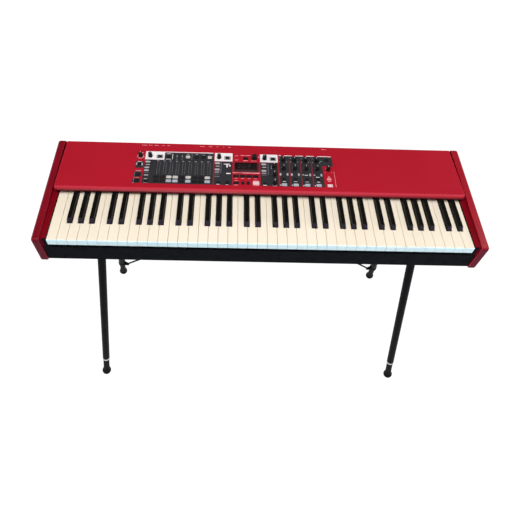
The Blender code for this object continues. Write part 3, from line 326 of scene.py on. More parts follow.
plainFinish = dict(patch=7.0, contrast=0.5, smudge=0.12, smudgeScale=20.0, grain=900.0,
                   relief=0.15, reliefDepth=0.00008, edgeReach=0.03, metallic=0.0, gloss=0.5)
inkFinish = dict(patch=40.0, roughness=0.55, grain=1800.0, relief=0.06, gloss=0.30)
thinInk = dict(patch=40.0, roughness=0.5, gloss=0.30)
darkCap = dict(patch=60.0, roughness=0.58, grain=2400.0, relief=0.2, gloss=0.15)
paleCap = dict(patch=60.0, roughness=0.52, grain=2400.0)

finishes = dict(
    # the panel's red, with painted shade on its turned-down nose and a painted highlight just
    # behind it
    panelLacquer=dict(tone=(170, 16, 37), shade=(164, 12, 33), paintedShadeTone=(84, 5, 20),
                      paintedShadeWidth=0.0055, paintedHighlightTone=(194, 48, 68), paintedHighlightWidth=0.0036, patch=3.0,
                      roughness=0.42, smudge=0.10, grain=1400.0, relief=0.10, gloss=0.22),
    rearLacquer=dict(tone=(172, 16, 36), shade=(160, 12, 31), patch=4.0, roughness=0.45,
                     grain=1400.0, relief=0.12, gloss=0.35),
    keyCream=dict(tone=(241, 229, 209), shade=(238, 224, 201), patch=9.0, contrast=0.4,
                  roughness=0.34, smudgeScale=34.0, grain=700.0, relief=0.05, gloss=0.40),
    # key fronts: the cream plastic in a painted cool front light
    keyFrontPaintedCoolLight=dict(tone=(218, 246, 255), shade=(208, 241, 254), patch=22.0, contrast=0.4,
                  roughness=0.36, smudge=0.10, grain=700.0, relief=0.05, gloss=0.40),
    keySatin=dict(tone=(13, 11, 10), shade=(9, 8, 7), patch=20.0, roughness=0.40, smudge=0.16,
                  smudgeScale=60.0, grain=2200.0, relief=0.16, gloss=0.08),
    # sharp fronts: the satin black in a painted cool front light
    sharpFrontPaintedCoolLight=dict(tone=(40, 36, 50), shade=(32, 29, 42), patch=40.0, roughness=0.50,
                    gloss=0.15),
    # the slip's lighter edge tone is a painted highlight along its top edge
    slipPaint=dict(tone=(10, 11, 14), shade=(7, 8, 9), patch=5.0, roughness=0.50, smudge=0.14,
                   grain=1600.0, relief=0.25, gloss=0.005, edgeWearAndHighlightTone=(24, 26, 30)),
    panPaint=dict(tone=(24, 24, 26), shade=(19, 19, 21), patch=6.0, roughness=0.62,
                  grain=1500.0, relief=0.35, gloss=0.12),
    printDark=dict(inkFinish, tone=(37, 37, 41), shade=(31, 31, 35), patch=12.0, smudge=0.08),
    printWhite=dict(inkFinish, tone=(232, 226, 228), shade=(220, 212, 216), patch=14.0),
    printDim=dict(inkFinish, tone=(150, 146, 152), shade=(128, 124, 132)),
    printGrey=dict(inkFinish, tone=(96, 97, 100), shade=(82, 83, 86)),
    printRose=dict(thinInk, tone=(236, 150, 160), shade=(224, 132, 146)),
    printRoseLine=dict(thinInk, tone=(244, 190, 196), shade=(236, 172, 182)),
    printPale=dict(thinInk, tone=(176, 168, 172), shade=(158, 150, 156)),
    printFaint=dict(thinInk, tone=(240, 160, 168), shade=(232, 146, 156)),
    capDark=dict(darkCap, tone=(25, 23, 26), shade=(18, 17, 19)),
    capBrown=dict(darkCap, tone=(32, 25, 23), shade=(26, 20, 19)),
    capWhite=dict(paleCap, tone=(190, 186, 182), shade=(178, 175, 171)),
    capBlue=dict(paleCap, tone=(166, 169, 179), shade=(154, 158, 168)),
    capRose=dict(paleCap, tone=(226, 190, 194), shade=(214, 176, 182)),
    matRubber=dict(tone=(30, 29, 31), shade=(23, 22, 24), patch=20.0, roughness=0.72,
                   grain=2000.0, relief=0.3, gloss=0.12),
    knobGrip=dict(tone=(26, 25, 27), shade=(18, 17, 19), patch=70.0, roughness=0.55,
                  smudge=0.16, smudgeScale=90.0, grain=2600.0, relief=0.25, gloss=0.18,
                  edgeWearAndHighlightTone=(44, 42, 46)),
    knobPointer=dict(tone=(236, 234, 230), shade=(222, 220, 216), patch=60.0, roughness=0.5),
    standPaint=dict(tone=(10, 11, 14), shade=(7, 8, 10), patch=9.0, roughness=0.40,
                    smudge=0.16, grain=1500.0, relief=0.20, gloss=0.03, edgeWearAndHighlightTone=(20, 21, 25)),
    ringChrome=dict(tone=(214, 214, 216), shade=(190, 191, 195), patch=60.0, roughness=0.22,
                    smudge=0.14, metallic=1.0, relief=0.03),
    footRubber=dict(tone=(14, 14, 15), shade=(10, 10, 11), patch=40.0, roughness=0.70,
                    grain=1400.0, relief=0.35, gloss=0.12),
    frameZinc=dict(tone=(176, 178, 182), shade=(150, 153, 160), patch=30.0, roughness=0.42,
                   metallic=0.9),
    boardGreen=dict(tone=(34, 74, 46), shade=(26, 60, 38), patch=30.0, roughness=0.5),
    screwZinc=dict(tone=(70, 71, 74), shade=(52, 53, 57), patch=90.0, roughness=0.38,
                   metallic=0.8),
    jackNylon=dict(tone=(24, 24, 26), shade=(18, 18, 20), patch=60.0, roughness=0.55,
                   grain=1800.0, relief=0.2),
    jackSteel=dict(tone=(186, 188, 192), shade=(160, 162, 168), patch=90.0, roughness=0.30,
                   metallic=1.0),
)
cheekStain = dict(tone=(126, 4, 26), shade=(114, 2, 19), pore=(102, 1, 14), patch=10.0,
                  grainStretch=(70.0, 4.0, 34.0), fibreScale=6.0, fibreDetail=6.0,
                  fibreBend=0.6, poreFrom=0.52, poreSteepness=3.0, roughness=0.33,
                  smudge=0.10, smudgeScale=26.0, gloss=0.34, relief=0.25, reliefDepth=0.00006)
cheekStains = dict(
    cheekLacquer=cheekStain,
    # the right cheek's copy, painted lighter: a painted highlight where light falls on that cheek
    paintedHighlightCheekLacquer=dict(cheekStain, tone=(156, 14, 34), shade=(144, 10, 28),
                            pore=(130, 7, 22), gloss=0.40),
    ledgeLacquer=dict(cheekStain, tone=(120, 3, 18), shade=(108, 1, 13), pore=(98, 0, 10),
                      roughness=0.48, gloss=0.07),
    # front faces: end grain, painted darker and bluer as shade under a cool front light
    cheekEndGrainPaintedShade=dict(cheekStain, tone=(100, 7, 36), shade=(88, 4, 30), pore=(76, 2, 24),
                         grainStretch=(9.0, 9.0, 60.0), roughness=0.46, gloss=0.06),
)
smokedGlass = dict(patch=30.0, contrast=0.6, smudge=0.08, smudgeScale=60.0)
glasses = dict(
    windowGlass=dict(smokedGlass, tone=(58, 3, 12), shade=(40, 2, 8), roughness=0.12),
    windowScreen=dict(smokedGlass, tone=(24, 22, 24), shade=(18, 16, 18), roughness=0.2),
    windowText=dict(smokedGlass, tone=(64, 44, 46), shade=(50, 34, 36), roughness=0.3,
                    glow=0.1),
    ladderLens=dict(smokedGlass, tone=(50, 52, 54), shade=(42, 44, 46), roughness=0.35),
    ladderCell=dict(smokedGlass, tone=(76, 78, 78), shade=(64, 66, 68), roughness=0.3,
                    glow=0.02),
    lampGreen=dict(smokedGlass, tone=(120, 200, 172), shade=(98, 176, 150), roughness=0.3,
                   glow=0.35),
)


def startFinish(name, look):
    # what all finishes share: a tone that wanders, a sheen that hands have changed, a gloss
    material, tree, shader = newMaterial(name)
    drift = addNode(tree, "Group", {
        "Tone": paint(*look["tone"]), "Shade": paint(*look["shade"]),
        "Patch Scale": look["patch"], "Contrast": look["contrast"]}, node_tree=toneDrift)
    sheen = addNode(tree, "Group", {
        "Roughness": look["roughness"], "Spread": look["smudge"],
        "Smudge Scale": look["smudgeScale"]}, node_tree=handSheen)
    feed(tree, shader, {
        "Roughness": sheen.outputs["Roughness"], "Metallic": look["metallic"],
        "Specular IOR Level": look["gloss"]})
    return material, tree, shader, drift.outputs["Colour"]


def addRelief(tree, shader, height, look):
    bump = addNode(tree, "Bump", {
        "Height": height, "Strength": look["relief"], "Distance": look["reliefDepth"]})
    feed(tree, shader, {"Normal": bump.outputs["Normal"]})


def makeFinish(name, look):
    # a paint, plastic, ink, rubber or metal
    look = {**plainFinish, **look}
    material, tree, shader, colour = startFinish(name, look)
    # painted shade across the nose's turned-down front, and a painted highlight along the crest
    # behind it
    if "paintedShadeTone" in look:
        paintedNose = addNode(tree, "Group", {
            "Front": panelEdge, "Width": look["paintedShadeWidth"], "Highlight Width": look["paintedHighlightWidth"]},
            node_tree=noseShadeAndHighlight)
        colour = addMix(tree, paintedNose.outputs["Painted Highlight"], colour, paint(*look["paintedHighlightTone"]))
        colour = addMix(tree, paintedNose.outputs["Painted Shade"], colour, paint(*look["paintedShadeTone"]))
    # lighter edges: wear, and a painted highlight
    if "edgeWearAndHighlightTone" in look:
        edge = addNode(tree, "Group", {"Reach": look["edgeReach"]}, node_tree=edgeWearAndHighlight)
        colour = addMix(tree, edge.outputs["Mask"], colour, paint(*look["edgeWearAndHighlightTone"]))
    grain = addNode(tree, "Group", {"Grain Scale": look["grain"]}, node_tree=fineGrain)
    feed(tree, shader, {"Base Color": colour})
    addRelief(tree, shader, grain.outputs["Height"], look)
    return material


def makeCheekLacquer(name, look):
    # red stain over wood: long grain along the cheek, under a satin lacquer
    look = {**plainFinish, **look}
    material, tree, shader, colour = startFinish(name, look)
    stretch = addNode(tree, "Mapping", {
        "Vector": objectPlace(tree), "Scale": look["grainStretch"]})
    fibre = addNode(tree, "TexNoise", {
        "Vector": stretch.outputs["Vector"], "Scale": look["fibreScale"],
        "Detail": look["fibreDetail"], "Distortion": look["fibreBend"]}).outputs["Fac"]
    pores = addMath(tree, "SUBTRACT", fibre, look["poreFrom"])
    pores = addMath(tree, "MULTIPLY", pores, look["poreSteepness"])
    feed(tree, shader, {"Base Color": addMix(tree, pores, colour, paint(*look["pore"]))})
    addRelief(tree, shader, fibre, look)
    return material


def makeSmokedGlass(name, look):
    # dark tinted acrylic with a faint unevenness, lit from behind where a glow is given
    look = {**plainFinish, **look}
    material, tree, shader, colour = startFinish(name, look)
    feed(tree, shader, {"Base Color": colour})
    if "glow" in look:
        feed(tree, shader, {"Emission Color": colour, "Emission Strength": look["glow"]})
    return material


finish = {name: makeFinish(name, look) for name, look in finishes.items()}
finish |= {name: makeCheekLacquer(name, look) for name, look in cheekStains.items()}
finish |= {name: makeSmokedGlass(name, look) for name, look in glasses.items()}
print("finishes made:", len(finish))


# Shapes: every solid is (points, faces), or (points, faces, finish number)

def arcPoints(centre, radius, start, end, steps):
    # on a circle or ellipse in a plane, angles in degrees
    wide, tall = radius if isinstance(radius, tuple) else (radius, radius)
    turns = [math.radians(start + (end - start) * step / steps) for step in range(steps + 1)]
    return [(centre[0] + wide * math.cos(turn), centre[1] + tall * math.sin(turn))
            for turn in turns]


def stacked(rings, capped=True):
    # rings of points joined one to the next, capped at both ends or else closed to a loop
    count, total = len(rings[0]), len(rings)
    faces = []
    for ring in range(total - 1 if capped else total):
        low, high = ring * count, (ring + 1) % total * count
        faces += [(low + i, low + (i + 1) % count, high + (i + 1) % count, high + i)
                  for i in range(count)]
    if capped:
        faces += [tuple(range(count)), tuple(range(total * count - 1, (total - 1) * count - 1, -1))]
    return [point for ring in rings for point in ring], faces


def alongX(outline, low, high):
    return stacked([[(x, y, z) for y, z in outline] for x in (low, high)])


def alongY(outline, low, high):
    return stacked([[(x, y, z) for x, z in outline] for y in (low, high)])


def alongZ(outline, low, high):
    return stacked([[(x, y, z) for x, y in outline] for z in (low, high)])


def boxBetween(low, high):
    outline = [(low[1], low[2]), (high[1], low[2]), (high[1], high[2]), (low[1], high[2])]
    return alongX(outline, low[0], high[0])


def boxAround(middle, size):
    return boxBetween([at - span / 2 for at, span in zip(middle, size)],
                      [at + span / 2 for at, span in zip(middle, size)])


def roundedRectangle(centre, size, radius, steps=4):
    halfX, halfY = size[0] / 2 - radius, size[1] / 2 - radius
    points = []
    for number, (signX, signY) in enumerate(((1, 1), (-1, 1), (-1, -1), (1, -1))):
        corner = (centre[0] + signX * halfX, centre[1] + signY * halfY)
        points += arcPoints(corner, radius, 90 * number, 90 * number + 90, steps)
    return points


def turned(profile, sides, capped=True):
    # (radius, z) pairs turned round Z
    turns = [2 * math.pi * step / sides for step in range(sides)]
    return stacked([[(radius * math.cos(turn), radius * math.sin(turn), z) for turn in turns]
                    for radius, z in profile], capped)


def moved(solid, matrix):
    return ([tuple(matrix @ Vector(point)) for point in solid[0]], *solid[1:])


def shifted(solid, x, y, z):
    return moved(solid, Matrix.Translation((x, y, z)))


def tinted(solid, number):
    return solid[0], solid[1], number


def buildMesh(name, solids, tints=()):
    # one mesh of many solids, in the finishes that tints names
    points, faces, numbers = [], [], []
    for solid in solids:
        start = len(points)
        points += solid[0]
        faces += [tuple(index + start for index in face) for face in solid[1]]
        numbers += [solid[2] if len(solid) > 2 else 0] * len(solid[1])
    mesh = bpy.data.meshes.new(name)
    mesh.from_pydata(points, [], faces)
    mesh.polygons.foreach_set("material_index", numbers)
    for tint in tints:
        mesh.materials.append(finish[tint])
    shape = bmesh.new()
    shape.from_mesh(mesh)
    bmesh.ops.recalc_face_normals(shape, faces=shape.faces)
    shape.to_mesh(mesh)
    shape.free()
    mesh.shade_smooth()
    return mesh


def addPiece(name, mesh, slot, body=mainBody, stands=(), rounding=0.0, steps=3, limit=30.0,
             start=caseOrigin):
    # hang a mesh on its body; rounding is a bevel, and flats stay flat under it
    piece = bpy.data.objects.new(name, mesh)
    piece.matrix_world = Matrix.Translation(start)
    putInScene(piece)
    if rounding:
        bevel = piece.modifiers.new("rounding", "BEVEL")
        bevel.width = rounding
        bevel.segments = steps
        bevel.limit_method = "ANGLE"
        bevel.angle_limit = math.radians(limit)
    flats = piece.modifiers.new("flats", "WEIGHTED_NORMAL")
    flats.keep_sharp = True
    flats.weight = 100
    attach(piece, body)
    if stands:
        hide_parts(*stands)


def addSolids(name, solids, tints, slot, sharpFrom=None, **how):
    # a piece straight from its solids; edges over sharpFrom degrees stay sharp
    mesh = buildMesh(name, solids, tints)
    if sharpFrom:
        mesh.set_sharp_from_angle(angle=math.radians(sharpFrom))
    addPiece(name, mesh, slot, **how)


def cutMesh(mesh, cutter, sharpFrom=38.0):
    # the first mesh less the second, as a mesh of its own
    holder = bpy.data.objects.new(f"{mesh.name}Blank", mesh)
    knife = bpy.data.objects.new(f"{mesh.name}Knife", cutter)
    for item in (holder, knife):
        putInScene(item)
    modifier = holder.modifiers.new("cut", "BOOLEAN")
    modifier.operation = "DIFFERENCE"
    modifier.solver = "EXACT"
    modifier.object = knife
    graph = bpy.context.evaluated_depsgraph_get()
    made = bpy.data.meshes.new_from_object(holder.evaluated_get(graph))
    made.name = mesh.name
    for item in (holder, knife):
        bpy.data.objects.remove(item)
    made.shade_smooth()
    made.set_sharp_from_angle(angle=math.radians(sharpFrom))
    return made


# Cheeks: a rounded slab, and the ledge beside the keys with its fine groove

cheek = dict(
    cornerRadius=0.007, footRadius=0.0035, leastFoot=0.0008, outerRadius=0.0065,
    innerRadius=0.0015, browSteps=6, cornerSteps=10, footSteps=6, drawnIn=0.6,
    thickness=0.0198, frontHeight=0.0865, slipHeight=0.050,
    ledgeTop=0.0845, ledgeFront=0.0068, ledgeEdge=0.0009, ledgeBackGap=0.0023,
    groove=0.0005, grooveDepth=0.0005,
    stopLength=0.010, stopTop=0.0975, stopSink=0.001, panelGap=0.0019,
    facing=0.8,          # a face whose normal leans this far to one side looks that way
)


def cheekOutline(inset, size):
    # the cheek's side view drawn in by inset all round
    depth, frontTop, backTop = size
    frontY, backY = inset, depth - inset
    corner = cheek["cornerRadius"] - inset * cheek["drawnIn"]
    foot = max(cheek["footRadius"] - inset * cheek["drawnIn"], cheek["leastFoot"])
    cornerSteps, footSteps = cheek["cornerSteps"], cheek["footSteps"]
    return [
        *arcPoints((frontY + foot, inset + foot), foot, 270, 180, footSteps),
        *arcPoints((frontY + corner, frontTop - inset - corner), corner, 180, 90, cornerSteps),
        *arcPoints((backY - corner, backTop - inset - corner), corner, 90, 0, cornerSteps),
        *arcPoints((backY - foot, inset + foot), foot, 0, -90, footSteps),
    ]


def addCheek(name, side, lacquer):
    low, high = inCase(name)
    outer = high.x if side > 0 else low.x
    inner = outer - side * cheek["thickness"]
    size = (high.y - low.y, cheek["frontHeight"], high.z)
    turns = [math.radians(90 * step / cheek["browSteps"])
             for step in range(cheek["browSteps"] + 1)]
    brow = [(1 - math.sin(turn), 1 - math.cos(turn)) for turn in turns]
    radius = cheek["outerRadius"]
    rings = [(outer - side * radius * across, radius * inset) for across, inset in brow[::-1]]
    radius = cheek["innerRadius"]
    rings += [(inner + side * radius * across, radius * inset) for across, inset in brow]
    slab = stacked([[(x, y, z) for y, z in cheekOutline(inset, size)] for x, inset in rings])
    shell = buildMesh(f"{name}_shell", [slab], [lacquer, "cheekEndGrainPaintedShade"])
    # front faces take the end grain with its painted shade
    for face in shell.polygons:
        face.material_index = face.normal.y < -cheek["facing"]
    addPiece(f"{name}_shell", shell, "cheek_red", stands=(name,))

    keysEdge = high.x if side < 0 else low.x
    seam, touch = inner - side * cheek["groove"], inner - side * hair
    top, step = cheek["ledgeTop"], cheek["ledgeTop"] - cheek["grooveDepth"]
    floor, back = cheek["slipHeight"] + fit, high.y - cheek["ledgeBackGap"]
    section = [(keysEdge, floor), (touch, floor), (touch, step), (seam, step), (seam, top),
               (keysEdge, top)]
    left, right = sorted((inner - side * cheek["panelGap"], touch))
    stop = boxBetween((left, back - cheek["stopLength"], top - cheek["stopSink"]),
                      (right, back - fit, cheek["stopTop"]))
    shelf = buildMesh(f"{name}_ledge", [alongY(section, cheek["ledgeFront"], back), stop],
                      ["ledgeLacquer", "cheekEndGrainPaintedShade", "matRubber"])
    for face in shelf.polygons:
        towardKeys = face.normal.x * side < -cheek["facing"]
        # the face toward the keys is painted black: a painted shadow in the gap beside the first
        # key
        if towardKeys and abs(face.center.x - keysEdge) < 5 * hair:
            face.material_index = 2
        # the front face takes the end grain with its painted shade
        elif face.normal.y < -cheek["facing"]:
            face.material_index = 1
    addPiece(f"{name}_ledge", shelf, "cheek_red", rounding=cheek["ledgeEdge"], steps=4)


addCheek("left_cheek", -1, "cheekLacquer")
# the right cheek's lighter lacquer is a painted highlight
addCheek("right_cheek", 1, "paintedHighlightCheekLacquer")
print("cheeks made")


# Controls on the panel, in the case's axes

controls = dict(
    headerRow=0.2645, lowerRow=0.1785,
    masterColumn=-0.3149, masterRows=(0.2365, 0.1995, 0.1785),
    presetColumns=(-0.2419, -0.1913, -0.1685, -0.1506, -0.1337),
    presetTints=("Dark", "White", "Dark", "Dark", "White"),
    selectColumns=(-0.2916, -0.1099, 0.0092),
    roundColumn=-0.0871, programColumn=-0.0394, storeColumn=-0.0136,
    arrowColumns=(-0.0469, -0.0335),
    softRow=0.2015, softColumn=-0.0643, softPitch=0.0166, softCount=4,
    effectColumn=0.0588, effectPitch=0.0293, effectRows=(0.1955, 0.1755), effectCount=4,
    reverbColumn=0.1750,
    ladderColumn=-0.2678, ladderPitch=0.0163, ladderRows=(0.1925, 0.1795),
    ladderTints=("Brown", "Brown", "White", "White", "Dark", "White", "Dark", "Dark", "White"),
    ladderLightRow=0.2240, ladderLight=(0.0036, 0.0436),
    smallCap=(0.010, 0.007), squareCap=(0.011, 0.009), wideCap=(0.0132, 0.0088),
    softCap=(0.0145, 0.0088), storeCap=(0.0165, 0.0110), ovalCap=(0.008, 0.0105),
    roundCap=(0.011, 0.011),
    capRise=0.0014, capGap=0.0004, capCorner=0.0014, capEdge=0.0005, capFoot=0.0002,
    capDish=0.00018, dishShare=0.42,
    capBrow=0.3, brimReach=2.2, leastCorner=0.00012,
    spindleHole=0.0034, windowCorner=0.0006, ladderCorner=0.0008, holeBelow=0.004, holeAbove=0.002,
)
panelLow, panelHigh = inCase("top_panel")
panelTop = panelHigh.z
ladderPlaces = [(controls["ladderColumn"] + number * controls["ladderPitch"],
                 controls["ladderLightRow"]) for number in range(len(controls["ladderTints"]))]
knobNodes = [name for name in frame["nodes"] if name.endswith("_knob") or name == "program_dial"]
buttonNodes = [name for name in frame["nodes"] if name.endswith("_on_button")]


def capTable():
    # (place, size, corner radius, finish) of every cap that stands on the rubber mat
    c = controls
    caps = []

    def add(x, y, size, tint="Dark", oval=False):
        corner = c[size][0] / 2 - hair if oval else c["capCorner"]
        caps.append(((x, y), c[size], corner, f"cap{tint}"))

    for y in c["masterRows"]:
        add(c["masterColumn"], y, "squareCap")
    for x, tint in zip(c["presetColumns"], c["presetTints"]):
        add(x, c["headerRow"], "squareCap", tint)
    for x in c["selectColumns"]:
        add(x, c["lowerRow"], "smallCap")
    add(c["roundColumn"], c["lowerRow"], "roundCap", oval=True)
    for (x, _), tint in zip(ladderPlaces, c["ladderTints"]):
        upper, lower = c["ladderRows"]
        add(x, upper, "wideCap", tint)
        add(x, lower, "wideCap", "Blue" if tint == "White" else tint)
    add(c["programColumn"], c["headerRow"], "wideCap")
    for number in range(c["softCount"]):
        add(c["softColumn"] + number * c["softPitch"], c["softRow"], "softCap")
    add(c["softColumn"], c["lowerRow"], "wideCap")
    add(c["storeColumn"], c["lowerRow"], "storeCap", "Rose")
    for x in c["arrowColumns"]:
        add(x, c["lowerRow"], "ovalCap", oval=True)
    for number in range(c["effectCount"]):
        x = c["effectColumn"] + number * c["effectPitch"]
        add(x, c["effectRows"][0], "smallCap")
        add(x, c["effectRows"][1], "wideCap", "Blue")
    add(c["reverbColumn"], c["effectRows"][1], "wideCap", "Rose")
    add(c["reverbColumn"], c["headerRow"], "squareCap")
    return caps


def widened(size, gap):
    return size[0] + gap, size[1] + gap


def sizeOf(node):
    low, high = inCase(node)
    return high.x - low.x, high.y - low.y


def holeCutter():
    # one mesh of every hole through the panel and its print
    c = controls
    gap = 2 * c["capGap"]
    low, high = panelTop - c["holeBelow"], panelTop + c["holeAbove"]
    holes = []

    def add(place, size, corner):
        holes.append(alongZ(roundedRectangle(place, widened(size, gap), corner), low, high))

    for place, size, corner, _ in capTable():
        add(place, size, min(corner + c["capGap"], (min(size) + gap) / 2 - hair))
    for node in buttonNodes:
        add(middleOf(node), sizeOf(node), c["capCorner"])
    for node in knobNodes:
        bore = turned([(c["spindleHole"], low), (c["spindleHole"], high)], 24)
        holes.append(shifted(bore, *middleOf(node), 0))
    add(middleOf("display_window"), sizeOf("display_window"), c["windowCorner"])
    for place in ladderPlaces:
        add(place, c["ladderLight"], c["ladderCorner"])
    return buildMesh("panelHoles", holes)


holes = holeCutter()


# Top panel: one sheet folded down all round, with a long curved nose over the keys

panel = dict(sheet=0.0016, wider=0.0040, lipBottom=0.0940, lipEdge=0.0934, wallBottom=0.0848,
             noseRun=0.0165, sideRun=0.003, backRun=0.003, frontCorner=(0.011, 0.0175),
             backCorner=(0.0034, 0.0034), wallStart=0.002, levels=16)


def panelRing(level, inset):
    # one ring of the sheet from above: level 0 is the lip, 1 the flat top, below 0 the foot
    turn = math.radians(90 * max(level, 0.0))
    front, side, back = (inset + (panel[run] - inset) * (1 - math.cos(turn))
                         for run in ("noseRun", "sideRun", "backRun"))
    height = panel["lipBottom"] + (panelTop - inset - panel["lipBottom"]) * math.sin(turn)
    lip, wall = (height, height) if level >= 0 else (panel["lipEdge"], panel["wallBottom"])
    (cornerX, cornerY), (heelX, heelY) = panel["frontCorner"], panel["backCorner"]
    half = panelHigh.x + panel["wider"]
    heel = arcPoints((half - heelX, panelHigh.y - heelY), (heelX - side, heelY - back), 90, 0, 8)
    nose = arcPoints((half - cornerX, panelLow.y + cornerY), (cornerX - side, cornerY - front),
                     0, -90, 16)
    points = [(x, y, wall) for x, y in heel]
    points.append((nose[0][0], nose[0][1] + panel["wallStart"], wall))
    points += [(x, y, lip) for x, y in nose]
    return points + [(-x, y, z) for x, y, z in reversed(points)]


def addPanel():
    # from the outside's flat top down to the foot, and up again inside
    levels = [-1] + [step / panel["levels"] for step in range(panel["levels"] + 1)]
    rings = [panelRing(level, 0.0) for level in reversed(levels)]
    rings += [panelRing(level, panel["sheet"]) for level in levels]
    skin = buildMesh("panel_skin", [stacked(rings)], ["panelLacquer"])
    addPiece("panel_skin", cutMesh(skin, holes), "panel_red", stands=("top_panel",))


addPanel()
print("panel made")


# Print on the panel: thin ink plates, with generic marks in place of words. Plates and
# marks are placed in the print sheet's millimetres, which onPanel turns to the case's own.

ink = dict(lift=0.00004, thick=0.00008, markLift=0.00010, stretch=0.9927, right=-3.7,
           back=-1.5, arcWidth=0.7, arcSteps=24)


def onPanel(x, y):
    return (x * ink["stretch"] + ink["right"]) / 1000, (y + ink["back"]) / 1000


def inkPlate(*corners):
    # a field of ink by its corners
    low = panelTop + ink["lift"]
    return alongZ([onPanel(x, y) for x, y in corners], low, low + ink["thick"])


markLow = panelTop + ink["markLift"]
markHigh = markLow + ink["thick"]


def inkBar(x, y, width, depth):
    # a small mark by its middle and size
    size = (width / 1000, depth / 1000)
    outline = roundedRectangle(onPanel(x, y), size, min(width, depth) / 3000, 1)
    return alongZ(outline, markLow, markHigh)


def inkArc(x, y, radius, start, end):
    # a pale scale round a knob
    half, steps = ink["arcWidth"] / 2, ink["arcSteps"]
    sides = [arcPoints(onPanel(x, y), (radius + side) / 1000, start, end, steps)
             for side in (half, -half)]
    return stacked([[(*outer, markLow), (*inner, markLow), (*inner, markHigh), (*outer, markHigh)]
                    for outer, inner in zip(*sides)])


def field(left, front, right, back):
    return [(left, front), (right, front), (right, back), (left, back)]


darkPlates = [
    [(-301, 172), (-120, 172), (-120, 281), (-250, 281), (-250, 254), (-301, 254)],
    field(-118, 172, -71, 253),
    field(2, 172, 49, 253),
    [(52, 172), (78.7, 172), (78.7, 262), (80.2, 262), (80.2, 172), (108.2, 172), (108.2, 262),
     (109.7, 262), (109.7, 172), (137.7, 172), (137.7, 262), (139.2, 262), (139.2, 172),
     (166.6, 172), (166.6, 245), (195, 245), (195, 278), (52, 278)],
    field(-66.5, 218.5, -1.5, 252),
    field(-323, 224, -303, 247.5),
    field(-324, 193, -304, 210),
    field(-325, 172.5, -305, 187.5),
]
whitePlates = [
    [(-301, 254.5), (-250.5, 254.5), (-250.5, 281.5), (-122, 281.5), (-122, 284), (-301, 284)],
    field(-118, 254, -71, 284),
    field(2, 254, 49, 282.5),
    *[field(left, 279, right, 281)
      for left, right in ((52, 58), (67.5, 88), (97, 117.5), (126.5, 147), (156, 193))],
]
plainBars = dict(          # (x, y, width, depth) of each bar, by its finish
    printWhite=[
        (-313.5, 245.5, 11, 1.5), (-320.6, 238, 1.4, 10), (-306.4, 237, 1.8, 9),   # level knob
        (-321.8, 173, 1.6, 1.6), (-309, 278, 4, 1.0),
        (-240, 276.6, 12, 1.5), (-229.6, 267, 1.2, 20), (-240, 257, 14, 1.2),      # presets
        (-86, 244, 16, 2.6), (-85, 237.5, 3.6, 10), (-77.5, 238.5, 5, 5),          # piano
        (-81, 211.5, 12, 3.4), (-107, 173.8, 9, 1.5), (-84, 172.9, 7, 1.2),
        (-96, 276.5, 14, 1.2), (-84, 274.4, 8, 1.2),
        (13, 173.8, 10, 1.6), (38, 172.7, 9, 1.1), (24, 276.6, 12, 1.2),           # synth
        (121.5, 211.6, 9, 1.6), (151, 205.4, 10, 1.5),                             # effects
    ],
    printDim=[
        (-313.5, 214, 14, 3.0), (-321.6, 192, 0.7, 34), (-313, 190.6, 9, 1.2),     # left end
        (-291, 173.8, 10, 1.2), (-218, 268, 2.2, 8), (-218, 258, 3.0, 1.6),        # presets
        (-204, 268, 2.2, 8), (-204, 258, 3.0, 1.6), (-189, 275.6, 7, 2.4),
        (-166, 276, 7, 2.4), (-148, 274.8, 8, 1.6), (-178.5, 267, 0.8, 20),
        (-131, 275.6, 8, 1.2),
        (-110.5, 215.5, 12, 5), (-110.5, 200.6, 13, 1.6), (-100.6, 231, 0.8, 40),  # piano
        (11.5, 214.8, 13, 4.2), (22.6, 229, 0.8, 40),                              # synth
    ],
    printPale=[
        (-293, 226, 12.6, 5.4), (-293, 216, 12.6, 5.4), (-292, 199.6, 11, 3.4),    # organ
        (-292, 187, 9, 2.4), (-110.5, 224.6, 13.4, 6.8), (11.5, 223.4, 13.4, 6.4),
    ],
    printRose=[
        (-60, 275, 8, 1.4), (-60, 260, 9, 1.2), (-36, 277, 26, 1.7),               # programs
        (-36, 258, 13, 2.4), (-15, 257.6, 15, 1.3), (-2, 272, 2.2, 5),
        (-61, 187.8, 9, 1.3), (-61, 172.6, 9, 1.5), (-10, 188.0, 13, 1.3),
        (-10, 172.2, 15, 1.6),
        (171.5, 223, 2.2, 1.6), (188.5, 223, 2.2, 1.6), (180, 207.6, 5, 2.4),      # reverb
        (180, 202.6, 10, 3.0), (180, 198.0, 13, 3.8), (180, 192.4, 8, 2.4),
        (195.2, 200, 0.9, 54),
    ],
    printRoseLine=[(-35, 214.6, 70, 1.7), (-52, 214.6, 14, 2.4)],
)
sections = (-292.5, -110.5, 11.5)
ladders = [-266 + 16.4 * number for number in range(9)]
softButtons = [-61 + 16.7 * number for number in range(4)]
effects = [63 + 29.5 * number for number in range(4)]
